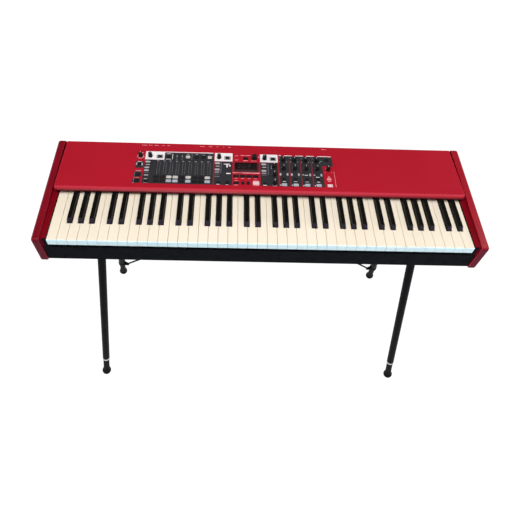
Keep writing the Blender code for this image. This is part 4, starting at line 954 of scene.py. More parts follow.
repeatedBars = [          # columns, finish, and the bars at each column
    (sections, "printPale", [(0, 246.6, 13.4, 6.0), (1, 236, 11, 3.0)]),
    (sections, "printDim", [(0, 208.5, 13, 0.8)]),
    ((-263.0, -84.0, 36.5), "printGrey", [          # frames round the section buttons
        (0, 271.7, 17, 1.6), (0, 260.3, 17, 1.6), (-7.5, 266, 1.8, 9.6), (7.5, 266, 1.8, 9.6)]),
    (ladders, "printDim", [(0, 250.2, 6.4, 2.0)]),
    (ladders, "printGrey", [(6.6, 225.5, 0.8, 42),
                            *[(4.9, 206 + 5.6 * tick, 2.0, 0.6) for tick in range(8)]]),
    (softButtons, "printRose", [(0, 195.4, 8, 1.4)]),
    (effects, "printDim", [(-9.4, 271, 1.6, 3.0), (9.4, 257.5, 2.0, 3.0), (-9.4, 257.5, 2.0, 3.0)]),
    (effects, "printPale", [(9.6, 213, 4.4, 9)]),
    (effects[:2], "printPale", [(-8.8, 212.8, 4.6, 9)]),
    (effects[2:], "printPale", [(-8.8, 212.8, 4.6, 3.4)]),
    (effects, "printWhite", [(0, 188.6, 8.4, 1.3), (-9.6, 176, 2.6, 3.6)]),
]
arcMarks = [          # finish, and x, y, radius, start and end of each arc
    ("printWhite", -313.5, 266, 8.2, 150, 395),
    ("printDim", 38, 180, 7.4, 200, 340),
    ("printDim", 38, 208, 7.4, 30, 150),
    ("printWhite", 38, 236, 7.4, 80, 230),
    ("printDim", 180, 231, 7.6, 30, 150),
    *[("printDim", x, 231, 7.5, 35, 145) for x in effects],
]
backMarks = dict(          # short marks above the sockets, from their left to their right ends
    row=306.5, depth=1.3,
    ends=((-316, -301), (-297, -287), (-281, -270), (-262, -254), (-247, -240), (-159, -147),
          (-136, -126), (-115, -110), (-98, -94), (-83, -76), (169, 183)),
)


def markTable():
    # solids of the marks by their finish
    marks = {tint: [inkBar(*bar) for bar in bars] for tint, bars in plainBars.items()}
    for columns, tint, bars in repeatedBars:
        marks.setdefault(tint, []).extend(
            inkBar(column + x, *rest) for column in columns for x, *rest in bars)
    for tint, *arc in arcMarks:
        marks[tint].append(inkArc(*arc))
    marks["printFaint"] = [
        inkBar((left + right) / 2, backMarks["row"], right - left, backMarks["depth"])
        for left, right in backMarks["ends"]]
    return marks


def addPrint():
    for name, plates, tint in (("print_dark_plates", darkPlates, "printDark"),
                               ("print_white_plates", whitePlates, "printWhite")):
        whole = buildMesh(name, [inkPlate(*corners) for corners in plates], [tint])
        addPiece(name, cutMesh(whole, holes), "panel_red")
    for tint, solids in sorted(markTable().items()):
        addSolids(tint.replace("print", "print_marks_").lower(), solids, [tint], "panel_red")


addPrint()
print("panel print made")


# Caps on the rubber mat, and the three section buttons

def capSolid(place, size, corner, low, high):
    # a cap with a rounded brow and a faint dish
    c = controls
    edge = c["capEdge"]
    brow = edge * c["capBrow"]
    rows = [(0.0, low), (0.0, high - edge), (brow, high - brow), (edge, high),
            (edge * c["brimReach"], high), (min(size) * c["dishShare"], high - c["capDish"])]
    rings = []
    for inset, z in rows:
        outline = roundedRectangle(place, widened(size, -2 * inset),
                                   max(corner - inset, c["leastCorner"]))
        rings.append([(x, y, z) for x, y in outline])
    return stacked(rings)


mat = dict(belowPanel=0.0003, buttonSlot=(0.013, 0.010), buttonCorner=0.0012,
           windowSlot=(0.0578, 0.0268), slotCorner=0.0006, slotDepth=0.001, ladderGap=0.0008)


def addCaps():
    low, high = inCase("button_mat")
    sheetTop = panelTop - panel["sheet"] - mat["belowPanel"]
    openings = [(middleOf(node), mat["buttonSlot"], mat["buttonCorner"])
                for node in buttonNodes + knobNodes]
    openings.append((middleOf("display_window"), mat["windowSlot"], mat["slotCorner"]))
    openings += [(place, widened(controls["ladderLight"], mat["ladderGap"]), mat["slotCorner"])
                 for place in ladderPlaces]
    slots = [alongZ(roundedRectangle(*opening), low.z - mat["slotDepth"], panelTop)
             for opening in openings]
    sheet = buildMesh("button_mat_sheet", [boxBetween(low, (high.x, high.y, sheetTop))],
                      ["matRubber"])
    addPiece("button_mat_sheet", cutMesh(sheet, buildMesh("matSlots", slots)), "button_grey",
             stands=("button_mat",))
    byTint = {}
    for place, size, corner, tint in capTable():
        byTint.setdefault(tint, []).append(capSolid(
            place, size, corner, sheetTop - controls["capFoot"], panelTop + controls["capRise"]))
    for tint, solids in sorted(byTint.items()):
        addSolids(tint.replace("cap", "caps_").lower(), solids, [tint], "button_grey")
    for node in buttonNodes:
        low, high = inCase(node)
        solid = capSolid(middleOf(node), sizeOf(node), controls["capCorner"], low.z, high.z)
        addSolids(f"{node}_cap", [solid], ["capDark"], "button_grey", body=node, stands=(node,))


addCaps()
print("caps made")


# Knobs: a fluted grip on a round skirt, with a pale pointer

knob = dict(sides=108, flutes=18, fluteDepth=0.00034, radius=0.0058, topRadius=0.0048,
            lift=0.0008, skirt=0.0022, skirtStep=0.0005, height=0.0125, edge=0.0007,
            spindle=0.003,
            skirtFoot=((0.0002, 0.0), (0.0, 0.0003)),         # how far in and up each ring lies
            skirtBrow=((0.0, -0.0004), (0.0003, 0.0)), gripFoot=(0.0006, 0.0002),
            gripShares=(0.3, 0.65, 1.0), topBrow=0.3, dish=((0.0018, 0.0), (0.0024, 0.0002)),
            pointer=0.0009, pointerStart=0.0004, pointerRise=0.00012, pointerDepth=0.0003,
            pointerSide=((0.0003, 0.0008), (0.0014, 0.0008)), pointerBrow=0.6, sharpFrom=42.0)
dial = dict(knob, radius=0.0068, topRadius=0.0061, flutes=27, fluteDepth=0.00028, pointer=0.0)


def knobMesh(name, look, spindleFoot):
    # rows of (radius, z, share of the flute's depth), from the spindle's foot to the dished top
    foot, top = look["lift"], look["lift"] + look["height"]
    wide, narrow, edge = look["radius"], look["topRadius"], look["edge"]
    skirt = foot + look["skirt"]
    grip, gripHeight = wide - look["skirtStep"], top - edge - skirt
    brow = edge * look["topBrow"]
    rows = [
        (look["spindle"], spindleFoot, 0), (look["spindle"], foot, 0),
        *[(wide - inward, foot + up, 0) for inward, up in look["skirtFoot"]],
        *[(wide - inward, skirt + up, 0) for inward, up in look["skirtBrow"]],
        (wide - look["gripFoot"][0], skirt + look["gripFoot"][1], 1),
        *[(grip - (grip - narrow) * share, skirt + gripHeight * share, 1)
          for share in look["gripShares"]],
        (narrow - brow, top - brow, 0.5), (narrow - edge, top, 0),
        *[(narrow - inward, top - down, 0) for inward, down in look["dish"]],
    ]
    turns = [2 * math.pi * step / look["sides"] for step in range(look["sides"])]
    rings = []
    for radius, z, share in rows:
        reach = [radius - look["fluteDepth"] * share
                 * (0.5 + 0.5 * math.cos(look["flutes"] * turn)) ** 2 for turn in turns]
        rings.append([(out * math.cos(turn), out * math.sin(turn), z)
                      for out, turn in zip(reach, turns)])
    solids = [stacked(rings)]
    if look["pointer"]:
        half, high = look["pointer"] / 2, top + look["pointerRise"]
        low = top - look["pointerDepth"]
        solids.append(tinted(boxBetween((-half, look["pointerStart"], low),
                                        (half, narrow - edge, high)), 1))
        side = [(narrow - edge, low - hair), (narrow - edge, high),
                (narrow - hair, top - edge * look["pointerBrow"]),
                *[(wide - inward, skirt + up) for inward, up in look["pointerSide"]]]
        solids.append(tinted(alongX(side, -half, half), 1))
    mesh = buildMesh(name, solids, ["knobGrip", "knobPointer"])
    mesh.set_sharp_from_angle(angle=math.radians(look["sharpFrom"]))
    return mesh


def addKnobs():
    spindleFoot = inCase("reverb_knob")[0].z - panelTop
    shared = knobMesh("knobGrip", knob, spindleFoot)
    big = knobMesh("dialGrip", dial, spindleFoot)
    for node in knobNodes:
        addPiece(f"{node}_grip", big if node == "program_dial" else shared, "knob_black",
                 body=node, stands=(node,),
                 start=caseOrigin + Vector((*middleOf(node), panelTop)))


addKnobs()
print("knobs made:", len(knobNodes))


# Display window and the light ladders

display = dict(
    edge=0.0006, screenInset=0.0035, screenSink=0.0001, screenEdge=0.00005, rise=0.00006,
    margin=0.004, rowPitch=0.0055, barDepth=0.0018, barGap=0.0035, barRise=0.00004,
    rows=((0.009, 0.006, 0.012), (0.014, 0.005, 0.008), (0.006, 0.010, 0.007)),
)


def addDisplay():
    d = display
    low, high = inCase("display_window")
    addSolids("display_window_glass", [boxBetween(low, high)], ["windowGlass"], "window_dark",
              stands=("display_window",), rounding=d["edge"])
    inset, top = d["screenInset"], high.z + d["rise"]
    screen = boxBetween((low.x + inset, low.y + inset, high.z - d["screenSink"]),
                        (high.x - inset, high.y - inset, top))
    addSolids("display_screen", [screen], ["windowScreen"], "window_dark",
              rounding=d["screenEdge"], steps=1)
    bars = []
    for row, widths in enumerate(d["rows"]):
        y = high.y - inset - d["margin"] - d["rowPitch"] * row
        start = low.x + inset + d["margin"]
        for width in widths:
            bars.append(boxBetween((start, y - d["barDepth"] / 2, high.z),
                                   (start + width, y + d["barDepth"] / 2, top + d["barRise"])))
            start += width + d["barGap"]
    addSolids("display_bars", bars, ["windowText"], "window_dark")


ladder = dict(cells=8, cellDepth=0.0040, cellInset=0.0004, drop=0.0005, thick=0.0001,
              cellRise=0.0002)
panelLamp = dict(places=((0.0335, 0.1920), (0.1601, 0.2605), (0.0881, 0.1865)),
                 profile=((0.0011, 0.0), (0.0011, 0.0002), (0.0007, 0.0004)))


def addLadders():
    # nine light bars under their slots, each with its row of cells, and three small lamps
    width, depth = controls["ladderLight"]
    top = panelTop - ladder["drop"]
    cellSize = (width - 2 * ladder["cellInset"], ladder["cellDepth"], ladder["cellRise"])
    bars, cells = [], []
    for x, y in ladderPlaces:
        bars.append(boxAround((x, y, top + ladder["thick"] / 2), (width, depth, ladder["thick"])))
        for cell in range(ladder["cells"]):
            middle = y - depth / 2 + depth / ladder["cells"] * (cell + 0.5)
            cells.append(boxAround((x, middle, top + ladder["cellRise"] / 2), cellSize))
    addSolids("ladder_bars", bars, ["ladderLens"], "window_dark")
    addSolids("ladder_cells", cells, ["ladderCell"], "window_dark")
    lights = [shifted(turned(panelLamp["profile"], 16), x, y, panelTop + ink["lift"])
              for x, y in panelLamp["places"]]
    addSolids("panel_lamps", lights, ["lampGreen"], "window_dark")


addDisplay()
addLadders()
print("display and ladders made")


# Keyboard

keys = dict(
    count=73, naturals=43, lowestNote=4, movingOctave=3,
    gap=0.0010, seam=0.0007, front=0.0035, top=0.082, depth=0.016, lip=0.018,
    lipThickness=0.004, nose=0.0026, noseSteps=5, end=0.158, edge=0.00045,
    sharpSetback=0.0512, sharpWidth=0.012, sharpTopWidth=0.0094, sharpRise=0.0108,
    sharpSlope=0.0065, sharpEnd=0.156, sharpEdge=0.0011, notchGap=0.0012,
    sharpOffsets={1: -0.0020, 3: 0.0020, 6: -0.0029, 8: 0.0, 10: 0.0029},
    frontLean=0.7, noseLean=0.45, sharpLean=0.5,          # how far a face looks forward to take the painted cool front light
    tailBottom=0.058, tailHeight=0.012, tailEnd=0.256, tailLap=0.001, naturalTail=0.011,
    sharpTail=0.007, sharpTailStart=0.012, sharpTailBottom=0.0025, sharpTailRise=0.002,
)
noteNames = ("c", "c_sharp", "d", "d_sharp", "e", "f", "f_sharp", "g", "g_sharp", "a",
             "a_sharp", "b")
keysLeft = inCase("bass_naturals")[0].x - keys["gap"] / 2
keyPitch = (inCase("treble_naturals")[1].x + keys["gap"] / 2 - keysLeft) / keys["naturals"]


def keyTable():
    # (note, naturals to its left, is it a sharp)
    naturals = 0
    table = []
    for note in range(keys["lowestNote"], keys["lowestNote"] + keys["count"]):
        sharp = note % 12 in keys["sharpOffsets"]
        table.append((note, naturals, sharp))
        naturals += not sharp
    return table


def sharpMiddle(note, naturals):
    return keysLeft + naturals * keyPitch + keys["sharpOffsets"][note % 12]


def naturalSolids(index, sharps):
    # the plastic key with its notches and front apron, and the plain tail behind it
    left = keysLeft + index * keyPitch + keys["seam"] / 2
    right = left + keyPitch - keys["seam"]
    reach = keys["sharpWidth"] / 2 + keys["notchGap"]
    neckLeft = max([left] + [x + reach for x in sharps if x - reach < left < x + reach])
    neckRight = min([right] + [x - reach for x in sharps if x - reach < right < x + reach])
    front, end = keys["front"], keys["end"]
    notch = front + keys["sharpSetback"] - keys["notchGap"]
    apron = front + keys["lipThickness"]
    outline = [(left, front), (right, front), (right, apron)]
    outline += [(right, notch), (neckRight, notch)] if neckRight < right else []
    outline += [(neckRight, end), (neckLeft, end)]
    outline += [(neckLeft, notch), (left, notch)] if neckLeft > left else []
    outline.append((left, apron))
    top, under, lip = keys["top"], keys["top"] - keys["depth"], keys["top"] - keys["lip"]
    n = len(outline)
    points = [(x, y, top) for x, y in outline]
    points += [(x, y, lip if number < 2 else under) for number, (x, y) in enumerate(outline)]
    points += [(right, apron, lip), (left, apron, lip)]
    a, b = 2 * n, 2 * n + 1
    faces = [tuple(range(n)), (n, n + 1, 1, 0), (n + 1, a, n + 2, 2, 1),
             (2 * n - 1, b, n, 0, n - 1)]
    faces += [(n + i, n + i + 1, i + 1, i) for i in range(2, n - 1)]
    faces += [tuple(range(2 * n - 1, n + 1, -1)), (n, b, a, n + 1), (a, b, 2 * n - 1, n + 2)]
    middle, half = (neckLeft + neckRight) / 2, keys["naturalTail"] / 2
    tail = boxBetween((middle - half, end - keys["tailLap"], keys["tailBottom"]),
                      (middle + half, keys["tailEnd"], keys["tailBottom"] + keys["tailHeight"]))
    return [(points, faces), tail]


def naturalMesh(name, indices, sharps):
    # the front edge on top is rounded to a nose, and the front faces and nose take a painted cool
    # light, pale blue over the cream
    mesh = buildMesh(name, [solid for index in indices for solid in naturalSolids(index, sharps)],
                     ["keyCream", "keyFrontPaintedCoolLight"])
    shape = bmesh.new()
    shape.from_mesh(mesh)
    near = 1e-5
    front, top = keys["front"] + near, keys["top"] - near
    brow = [edge for edge in shape.edges
            if all(v.co.y < front and v.co.z > top for v in edge.verts)]

    def paintFrontLight(lean, reach):
        for face in shape.faces:
            if face.normal.y < -lean and face.calc_center_median().y < reach:
                face.material_index = 1

    paintFrontLight(keys["frontLean"], front)
    bmesh.ops.bevel(shape, geom=brow, offset=keys["nose"], segments=keys["noseSteps"],
                    profile=0.5, affect="EDGES")
    shape.normal_update()
    paintFrontLight(keys["noseLean"], front + keys["nose"])
    shape.to_mesh(mesh)
    shape.free()
    return mesh


def sharpSolids(middle):
    # a block that draws in to a narrow top with a sloped front, and its plain tail
    base = keys["tailBottom"] + keys["tailHeight"]
    front, end = keys["front"] + keys["sharpSetback"], keys["sharpEnd"]
    wide, narrow = keys["sharpWidth"] / 2, keys["sharpTopWidth"] / 2
    levels = ((base, wide, front), (keys["top"], wide, front),
              (keys["top"] + keys["sharpRise"], narrow, front + keys["sharpSlope"]))
    block = stacked([[(middle - half, near, z), (middle + half, near, z),
                      (middle + half, end, z), (middle - half, end, z)]
                     for z, half, near in levels])
    half = keys["sharpTail"] / 2
    tail = boxBetween((middle - half, end - keys["sharpTailStart"],
                       keys["tailBottom"] + keys["sharpTailBottom"]),
                      (middle + half, keys["tailEnd"], base + keys["sharpTailRise"]))
    return [block, tail]


def sharpMesh(name, middles):
    # the satin blocks, with their sloped fronts in a painted cool front light
    mesh = buildMesh(name, [solid for middle in middles for solid in sharpSolids(middle)],
                     ["keySatin", "sharpFrontPaintedCoolLight"])
    reach = keys["front"] + keys["sharpSetback"] + keys["sharpSlope"]
    for face in mesh.polygons:
        if face.normal.y < -keys["sharpLean"] and face.center.y < reach:
            face.material_index = 1
    return mesh


def addKeyboard():
    table = keyTable()
    sharps = [sharpMiddle(note, index) for note, index, sharp in table if sharp]
    naturalHow = dict(slot="key_cream", rounding=keys["edge"], steps=2)
    sharpHow = dict(slot="key_black", rounding=keys["sharpEdge"], steps=4, limit=16)
    firstMoving = 12 * keys["movingOctave"]
    banks = {"bass": [key for key in table if key[0] < firstMoving],
             "treble": [key for key in table if key[0] >= firstMoving + 12]}
    for name, members in banks.items():
        indices = [index for note, index, sharp in members if not sharp]
        middles = [sharpMiddle(note, index) for note, index, sharp in members if sharp]
        addPiece(f"{name}_natural_keys", naturalMesh(f"{name}_natural_keys", indices, sharps),
                 stands=(f"{name}_naturals",), **naturalHow)
        addPiece(f"{name}_sharp_keys", sharpMesh(f"{name}_sharp_keys", middles),
                 stands=(f"{name}_sharps",), **sharpHow)
    for note, index, sharp in table:
        if not firstMoving <= note < firstMoving + 12:
            continue
        node = f"key_{noteNames[note % 12]}"
        lever = f"{node}_lever"
        mesh = (sharpMesh(lever, [sharpMiddle(note, index)]) if sharp
                else naturalMesh(lever, [index], sharps))
        addPiece(lever, mesh, body=node, stands=(node,), **(sharpHow if sharp else naturalHow))


addKeyboard()
print("keyboard made")


# Front rail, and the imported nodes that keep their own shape

slip = dict(front=0.005, thickness=0.013, height=0.050, radius=0.002, post=0.0015,
            postWidth=0.009, postSink=0.0002, postEdge=0.0004)
ownShapes = dict(bottom_pan="panPaint", rear_panel="rearLacquer", key_frame="frameZinc",
                 main_board="boardGreen", left_stand_plate="standPaint",
                 right_stand_plate="standPaint", brace_bracket="standPaint")


def addSlip():
    low, high = inCase("key_slip")
    front, radius, height = slip["front"], slip["radius"], slip["height"]
    back = front + slip["thickness"]
    outline = [*arcPoints((front + radius, radius), radius, 270, 180, 8),
               *arcPoints((front + radius, height - radius), radius, 180, 90, 8),
               (back, height), (back, 0.0)]
    addSolids("key_slip_rail", [alongX(outline, low.x, high.x)], ["slipPaint"], "rail_black",
              sharpFrom=40, stands=("key_slip",))
    inner = -keysLeft + keys["gap"]
    posts = []
    for side in (-1, 1):
        left, right = sorted((side * inner, side * (inner + slip["postWidth"])))
        posts.append(boxBetween((left, front + slip["postSink"], height - 2 * radius),
                                (right, front + slip["post"], cheek["ledgeTop"] - slip["post"])))
    addSolids("key_slip_posts", posts, ["slipPaint"], "rail_black", rounding=slip["postEdge"],
              steps=2)


addSlip()
for node, tint in ownShapes.items():
    for place in frame["nodes"][node].material_slots:
        place.material = finish[tint]


# Screws under the case, on its back and under the stand's plates

screws = dict(
    radius=0.0034, rise=0.0012, sides=24,
    profile=((1.0, 0.0), (1.0, 0.35), (0.86, 0.8), (0.5, 1.0), (0.42, 0.55)),   # as shares
    slot=0.0008, slotReach=0.42, slotFrom=0.5, slotTo=0.62,
    panColumns=(-0.47, -0.28, -0.1, 0.1, 0.28, 0.47), panInset=0.012,
    rearColumns=(-0.49, -0.33, -0.15, 0.0, 0.135, 0.30, 0.49), rearInset=0.007,
    plateInset=(0.010, 0.012), bracketInset=(0.008, 0.006), plateFace=-0.0033,
)


def screwSolids(x, y, z, down=True):
    # a low domed head with a cross recess, on a face that looks down or to the back
    r, rise = screws["radius"], screws["rise"]
    reach, half = r * screws["slotReach"], screws["slot"] / 2
    low, high = rise * screws["slotFrom"], rise * screws["slotTo"]
    head = turned([(r * out, rise * up) for out, up in screws["profile"]], screws["sides"])
    bars = [boxBetween((-reach, -half, low), (reach, half, high)),
            boxBetween((-half, -reach, low), (half, reach, high))]
    turn = Matrix.Rotation(math.pi if down else -math.pi / 2, 4, "X")
    place = Matrix.Translation((x, y, z)) @ turn
    return [moved(head, place), *[tinted(moved(bar, place), 1) for bar in bars]]


def addScrews(name, places, down=True):
    solids = [solid for place in places for solid in screwSolids(*place, down)]
    addSolids(name, solids, ["screwZinc", "jackNylon"], "frame_steel")


def screwPlaces():
    # under the pan, on the back, and under the stand's plates with the braces' bracket
    low, high = inCase("bottom_pan")
    inset = screws["panInset"]
    pan = [(x, y, low.z) for x in screws["panColumns"] for y in (low.y + inset, high.y - inset)]
    low, high = inCase("rear_panel")
    inset = screws["rearInset"]
    rear = [(x, caseBack, z) for x in screws["rearColumns"]
            for z in (low.z + inset, high.z - inset)]
    plates = []
    insetX, insetY = screws["plateInset"]
    for node in ("left_stand_plate", "right_stand_plate"):
        low, high = inCase(node)
        plates += [(x, y, screws["plateFace"]) for x in (low.x + insetX, high.x - insetX)
                   for y in (low.y + insetY, (low.y + high.y) / 2, high.y - insetY)]
    low, high = inCase("brace_bracket")
    insetX, insetY = screws["bracketInset"]
    plates += [(x, low.y + insetY, screws["plateFace"])
               for x in (low.x + insetX, high.x - insetX)]
    return pan, rear, plates


panScrews, rearScrews, plateScrews = screwPlaces()
addScrews("pan_screws", panScrews)
addScrews("rear_screws", rearScrews, down=False)


# Sockets and the power rocker on the back

sockets = dict(
    height=0.045, jacks=(-0.200, -0.095, -0.060, 0.030, 0.065, 0.100),
    collar=((0.0063, 0.0), (0.0063, 0.0013), (0.0058, 0.0017), (0.0049, 0.0017),
            (0.0045, 0.0015), (0.0045, 0.0)),
    lining=((0.0045, 0.0), (0.0045, 0.0016), (0.0035, 0.0012), (0.0035, -0.009),
            (0.0038, -0.009), (0.0038, 0.0)),
    rounds=(0.165, 0.200), pins=5, pinSpacing=0.0042, pinDrop=0.001,
    roundProfile=((0.0073, -0.0019), (0.0073, -0.0004), (0.0066, -0.0004), (0.0062, -0.0014)),
    pinProfile=((0.0007, -0.0016), (0.0007, -0.0012)),
    data=0.250, dataSize=(0.0125, 0.0115), inlet=0.455, inletSize=(0.027, 0.020),
    switch=0.415, switchSize=(0.0125, 0.0215),
    frameWider=0.005, frameRise=0.0009, frameEdge=0.0003, frameCorners=(0.0007, 0.0016),
    tongueLow=(-0.0034, -0.010, -0.0018), tongueHigh=(0.0034, -0.002, 0.0018),
)


def facingBack(solid, x, z):
    # a solid turned on Z, laid so that its top looks out of the back
    turn = Matrix.Rotation(-math.pi / 2, 4, "X")
    return moved(solid, Matrix.Translation((x, caseBack, z)) @ turn)


def addSockets():
    s = sockets
    z = s["height"]
    tints = ["jackNylon", "jackSteel"]
    solids = [tinted(facingBack(turned(s[part], 40, capped=False), x, z), number)
              for x in s["jacks"] for number, part in enumerate(("collar", "lining"))]
    addSolids("jack_collars", solids, tints, "case_black")
    solids = []
    for x in s["rounds"]:
        solids.append(facingBack(turned(s["roundProfile"], 40), x, z))
        for pinX, pinZ in arcPoints((x, z), s["pinSpacing"], 0, 180, s["pins"] - 1):
            pin = facingBack(turned(s["pinProfile"], 12), pinX, pinZ - s["pinDrop"])
            solids.append(tinted(pin, 1))
    addSolids("round_sockets", solids, tints, "case_black")
    solids = []
    raised = caseBack + s["frameRise"]
    for name in ("data", "inlet", "switch"):
        size = s[f"{name}Size"]
        small, large = s["frameCorners"]
        inner = roundedRectangle((s[name], z), size, small)
        outer = roundedRectangle((s[name], z), widened(size, s["frameWider"]), large)
        rings = ((caseBack, outer), (raised, outer), (raised, inner), (caseBack, inner))
        solids.append(stacked([[(px, y, pz) for px, pz in line] for y, line in rings],
                              capped=False))
    start = Vector((s["data"], caseBack, z))
    tongue = boxBetween(start + Vector(s["tongueLow"]), start + Vector(s["tongueHigh"]))
    addSolids("socket_frames", [*solids, tinted(tongue, 1)], tints, "case_black",
              rounding=s["frameEdge"], steps=2)


rocker = dict(depth=0.005, heel=0.0059, faceInset=0.0008, faceSteps=10, rise=0.0022, dish=0.001,
              tilt=8.0, pivotDepth=0.0025, mark=0.0006, markDish=0.42,
              markSection=((-0.0004, 0.0045), (0.0002, 0.0045), (0.0005, 0.0075),
                           (-0.0001, 0.0075)))


def addRocker():
    low, high = inCase("power_switch")
    half = sockets["switchSize"][1] / 2 - rocker["faceInset"]
    rise, dish, depth, heel = rocker["rise"], rocker["dish"], rocker["depth"], rocker["heel"]
    across = [2 * step / rocker["faceSteps"] for step in range(rocker["faceSteps"] + 1)]
    face = [(rise + dish * (share - 1) ** 2, half * (1 - share)) for share in across]
    profile = [(-depth, -heel), (-depth, heel), (0.0, half), *face, (0.0, -half)]
    tilt = math.radians(rocker["tilt"])
    pivot = caseBack - rocker["pivotDepth"]
    z = sockets["height"]

    def lean(y, up):
        return (pivot + y * math.cos(tilt) - up * math.sin(tilt),
                z + y * math.sin(tilt) + up * math.cos(tilt))

    markY = rise + dish * rocker["markDish"]
    bar = [lean(markY + y, up) for y, up in rocker["markSection"]]
    middle, markHalf = (low.x + high.x) / 2, rocker["mark"] / 2
    solids = [alongX([lean(y, up) for y, up in profile], low.x, high.x),
              tinted(alongX(bar, middle - markHalf, middle + markHalf), 1)]
    addSolids("power_switch_rocker", solids, ["jackNylon", "knobPointer"], "switch_black",
              sharpFrom=35, body="power_switch", stands=("power_switch",))


addSockets()
addRocker()
print("front rail, screws, sockets and rocker made")


# Stand: tube legs with a ring, bright on the front ones, ball feet, and the rear braces

stand = dict(
    footSpot=(0.4906, 0.1999), ballRadius=0.0145, ballFlat=0.0015, sides=48,
    legRadius=0.0111, legBore=0.0095, shoulder=0.027, sleeve=0.070, sleeveRadius=0.0098,
    neck=0.0106, flare=0.012, neckRise=0.003, travel=0.020, grip=0.035, floorCut=(0.2, 0.05),
    lowerEdge=0.0004, upperEdge=0.0006, sleeveEdge=0.0005,
    ringHeight=0.0062, ringRise=0.0048, ringRadius=0.0114, ringEdge=0.0003,
    ringGroove=((0.0, 0.42), (0.0002, 0.46), (0.0002, 0.54), (0.0, 0.58)),
    spigot=0.006, spigotLength=0.014, spigotEdge=0.0005, spigotBore=0.0008, plugDepth=0.004,
    clampHeight=0.014, clampRadius=0.0130, clampEdge=0.0008, clampAbove=0.012,
    lug=0.014, lugRadius=0.0072, lugTip=0.0042, lugSink=0.0006,
    rod=0.003, rodEdge=0.0004, rodSides=20, bracketY=0.150, braceSpread=0.018, braceDrop=0.012,
)
floorOrigin = Vector((0.0, 0.0, 0.0))      # the stand is drawn from the floor up
corners = {"front_left": (-1, -1), "front_right": (1, -1), "rear_left": (-1, 1),
           "rear_right": (1, 1)}
slideAxis = {joint["child"]: Vector(joint["axis"])
             for joint in frame["joints"] if joint["type"] == "slide"}


def axisFrame(start, up):
    # local Z runs up the given direction
    up = up.normalized()
    across = (Vector((1, 0, 0)) - up * up.x).normalized()
    turn = Matrix((across, up.cross(across), up)).transposed()
    return Matrix.Translation(start) @ turn.to_4x4()


def legFrame(corner):
    # the ball's middle, the leg's direction and the length from there to the case
    side, end = corners[corner]
    x, y = stand["footSpot"]
    centre = Vector((side * x, end * y, stand["ballRadius"] - stand["ballFlat"]))
    up = -slideAxis[f"{corner}_foot"]
    return centre, up, (caseOrigin.z - centre.z) / up.z


def addLeg(corner):
    s = stand
    centre, up, length = legFrame(corner)
    place = axisFrame(centre, up)
    start, end = s["sleeve"], length - s["shoulder"]
    radius, bore, ring, spigot = s["legRadius"], s["legBore"], s["ringHeight"], s["spigot"]
    tip = end + s["spigotLength"]
    lower, upper, edge = s["lowerEdge"], s["upperEdge"], s["spigotEdge"]
    tube = [(bore, start), (radius - lower, start), (radius, start + lower),
            (radius, end - upper), (radius - upper, end), (spigot, end),
            (spigot, tip - edge), (spigot - edge, tip), (s["spigotBore"], tip),
            (s["spigotBore"], end - s["plugDepth"]), (bore, end - s["plugDepth"])]
    addSolids(f"{corner}_leg_tube", [moved(turned(tube, s["sides"], capped=False), place)],
              ["standPaint"], "stand_black", sharpFrom=40, stands=(f"{corner}_leg",),
              start=floorOrigin)
    low, out, edge = start + s["ringRise"], s["ringRadius"], s["ringEdge"]
    high = low + ring
    band = [(radius, low), (out - edge, low), (out, low + edge),
            *[(out - inward, low + ring * share) for inward, share in s["ringGroove"]],
            (out, high - edge), (out - edge, high), (radius, high)]
    tint = "ringChrome" if corner.startswith("front") else "standPaint"
    addSolids(f"{corner}_leg_ring", [moved(turned(band, s["sides"], capped=False), place)],
              [tint], "stand_black", sharpFrom=30, start=floorOrigin)


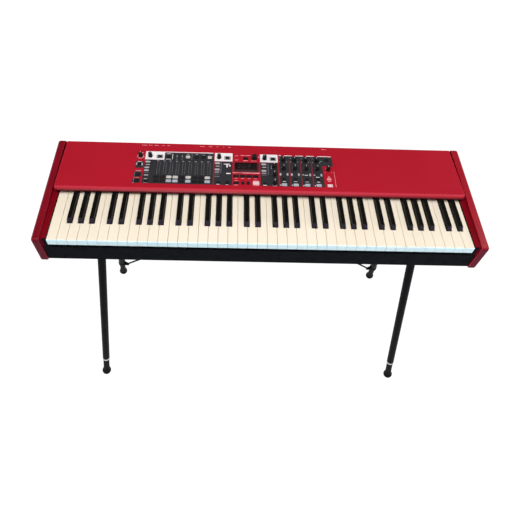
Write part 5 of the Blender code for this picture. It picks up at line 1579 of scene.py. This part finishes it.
def addFoot(corner):
    # a rubber ball, cut flat at the floor, under a flared neck and a sleeve into the leg
    s = stand
    centre, up, _ = legFrame(corner)
    radius, wide, narrow = s["ballRadius"], s["neck"], s["sleeveRadius"]
    top, stem = s["sleeve"] - fit, s["legBore"] - fit
    ball = [(radius * math.cos(math.radians(turn)), radius * math.sin(math.radians(turn)))
            for turn in range(-84, 38, 6)]
    flare = [(narrow + (wide - narrow) * (1 - share) ** 2,
              radius + s["neckRise"] + (s["flare"] - s["neckRise"]) * share)
             for share in (0.0, 0.25, 0.5, 0.75, 1.0)]
    edge = s["sleeveEdge"]
    profile = ball + flare + [(narrow, top - edge), (narrow - edge, top), (stem, top),
                              (stem, top + s["travel"] + s["grip"])]
    name = f"{corner}_foot_ball"
    whole = buildMesh(name, [moved(turned(profile, s["sides"]), axisFrame(centre, up))],
                      ["footRubber"])
    width, depth = s["floorCut"]
    below = boxAround((centre.x, centre.y, -depth / 2), (width, width, depth))
    addPiece(name, cutMesh(whole, buildMesh(f"{corner}Floor", [below])), "foot_rubber",
             body=f"{corner}_foot", stands=(f"{corner}_foot",), start=floorOrigin)


def rodBetween(start, end, radius, endRadius):
    length, edge = (end - start).length, stand["rodEdge"]
    profile = [(radius - edge, 0.0), (radius, edge), (endRadius, length - edge),
               (endRadius - edge, length)]
    return moved(turned(profile, stand["rodSides"]), axisFrame(start, end - start))


def addBrace(name, side, corner):
    # a clamp round the leg, its lug, and the thin rod from there to the bracket
    s = stand
    centre, up, _ = legFrame(corner)
    half, bore, outer = s["clampHeight"] / 2, s["legRadius"] + fit, s["clampRadius"]
    grip = centre + up * (s["sleeve"] + s["clampAbove"] + half)
    target = Vector((side * s["braceSpread"], caseOrigin.y + s["bracketY"],
                     caseOrigin.z - s["braceDrop"]))
    inward = target - grip
    inward = (inward - up * inward.dot(up)).normalized()
    start = grip + inward * (outer + s["lug"] / 2)
    toward = (target - start).normalized()
    edge = s["clampEdge"]
    band = [(bore, -half), (outer - edge, -half), (outer, -half + edge), (outer, half - edge),
            (outer - edge, half), (bore, half)]
    solids = [
        moved(turned(band, s["sides"], capped=False), axisFrame(grip, up)),
        rodBetween(grip + inward * (outer - s["lugSink"]), grip + inward * (outer + s["lug"]),
                   s["lugRadius"], s["lugTip"]),
        rodBetween(start, target - toward * fit, s["rod"], s["rod"]),
    ]
    addSolids(f"{name}_rod", solids, ["standPaint"], "stand_black", sharpFrom=40,
              stands=(name,), start=floorOrigin)


for corner in corners:
    addLeg(corner)
    addFoot(corner)
addBrace("left_brace", -1, "rear_left")
addBrace("right_brace", 1, "rear_right")
addScrews("stand_screws", plateScrews)
print("stand made")
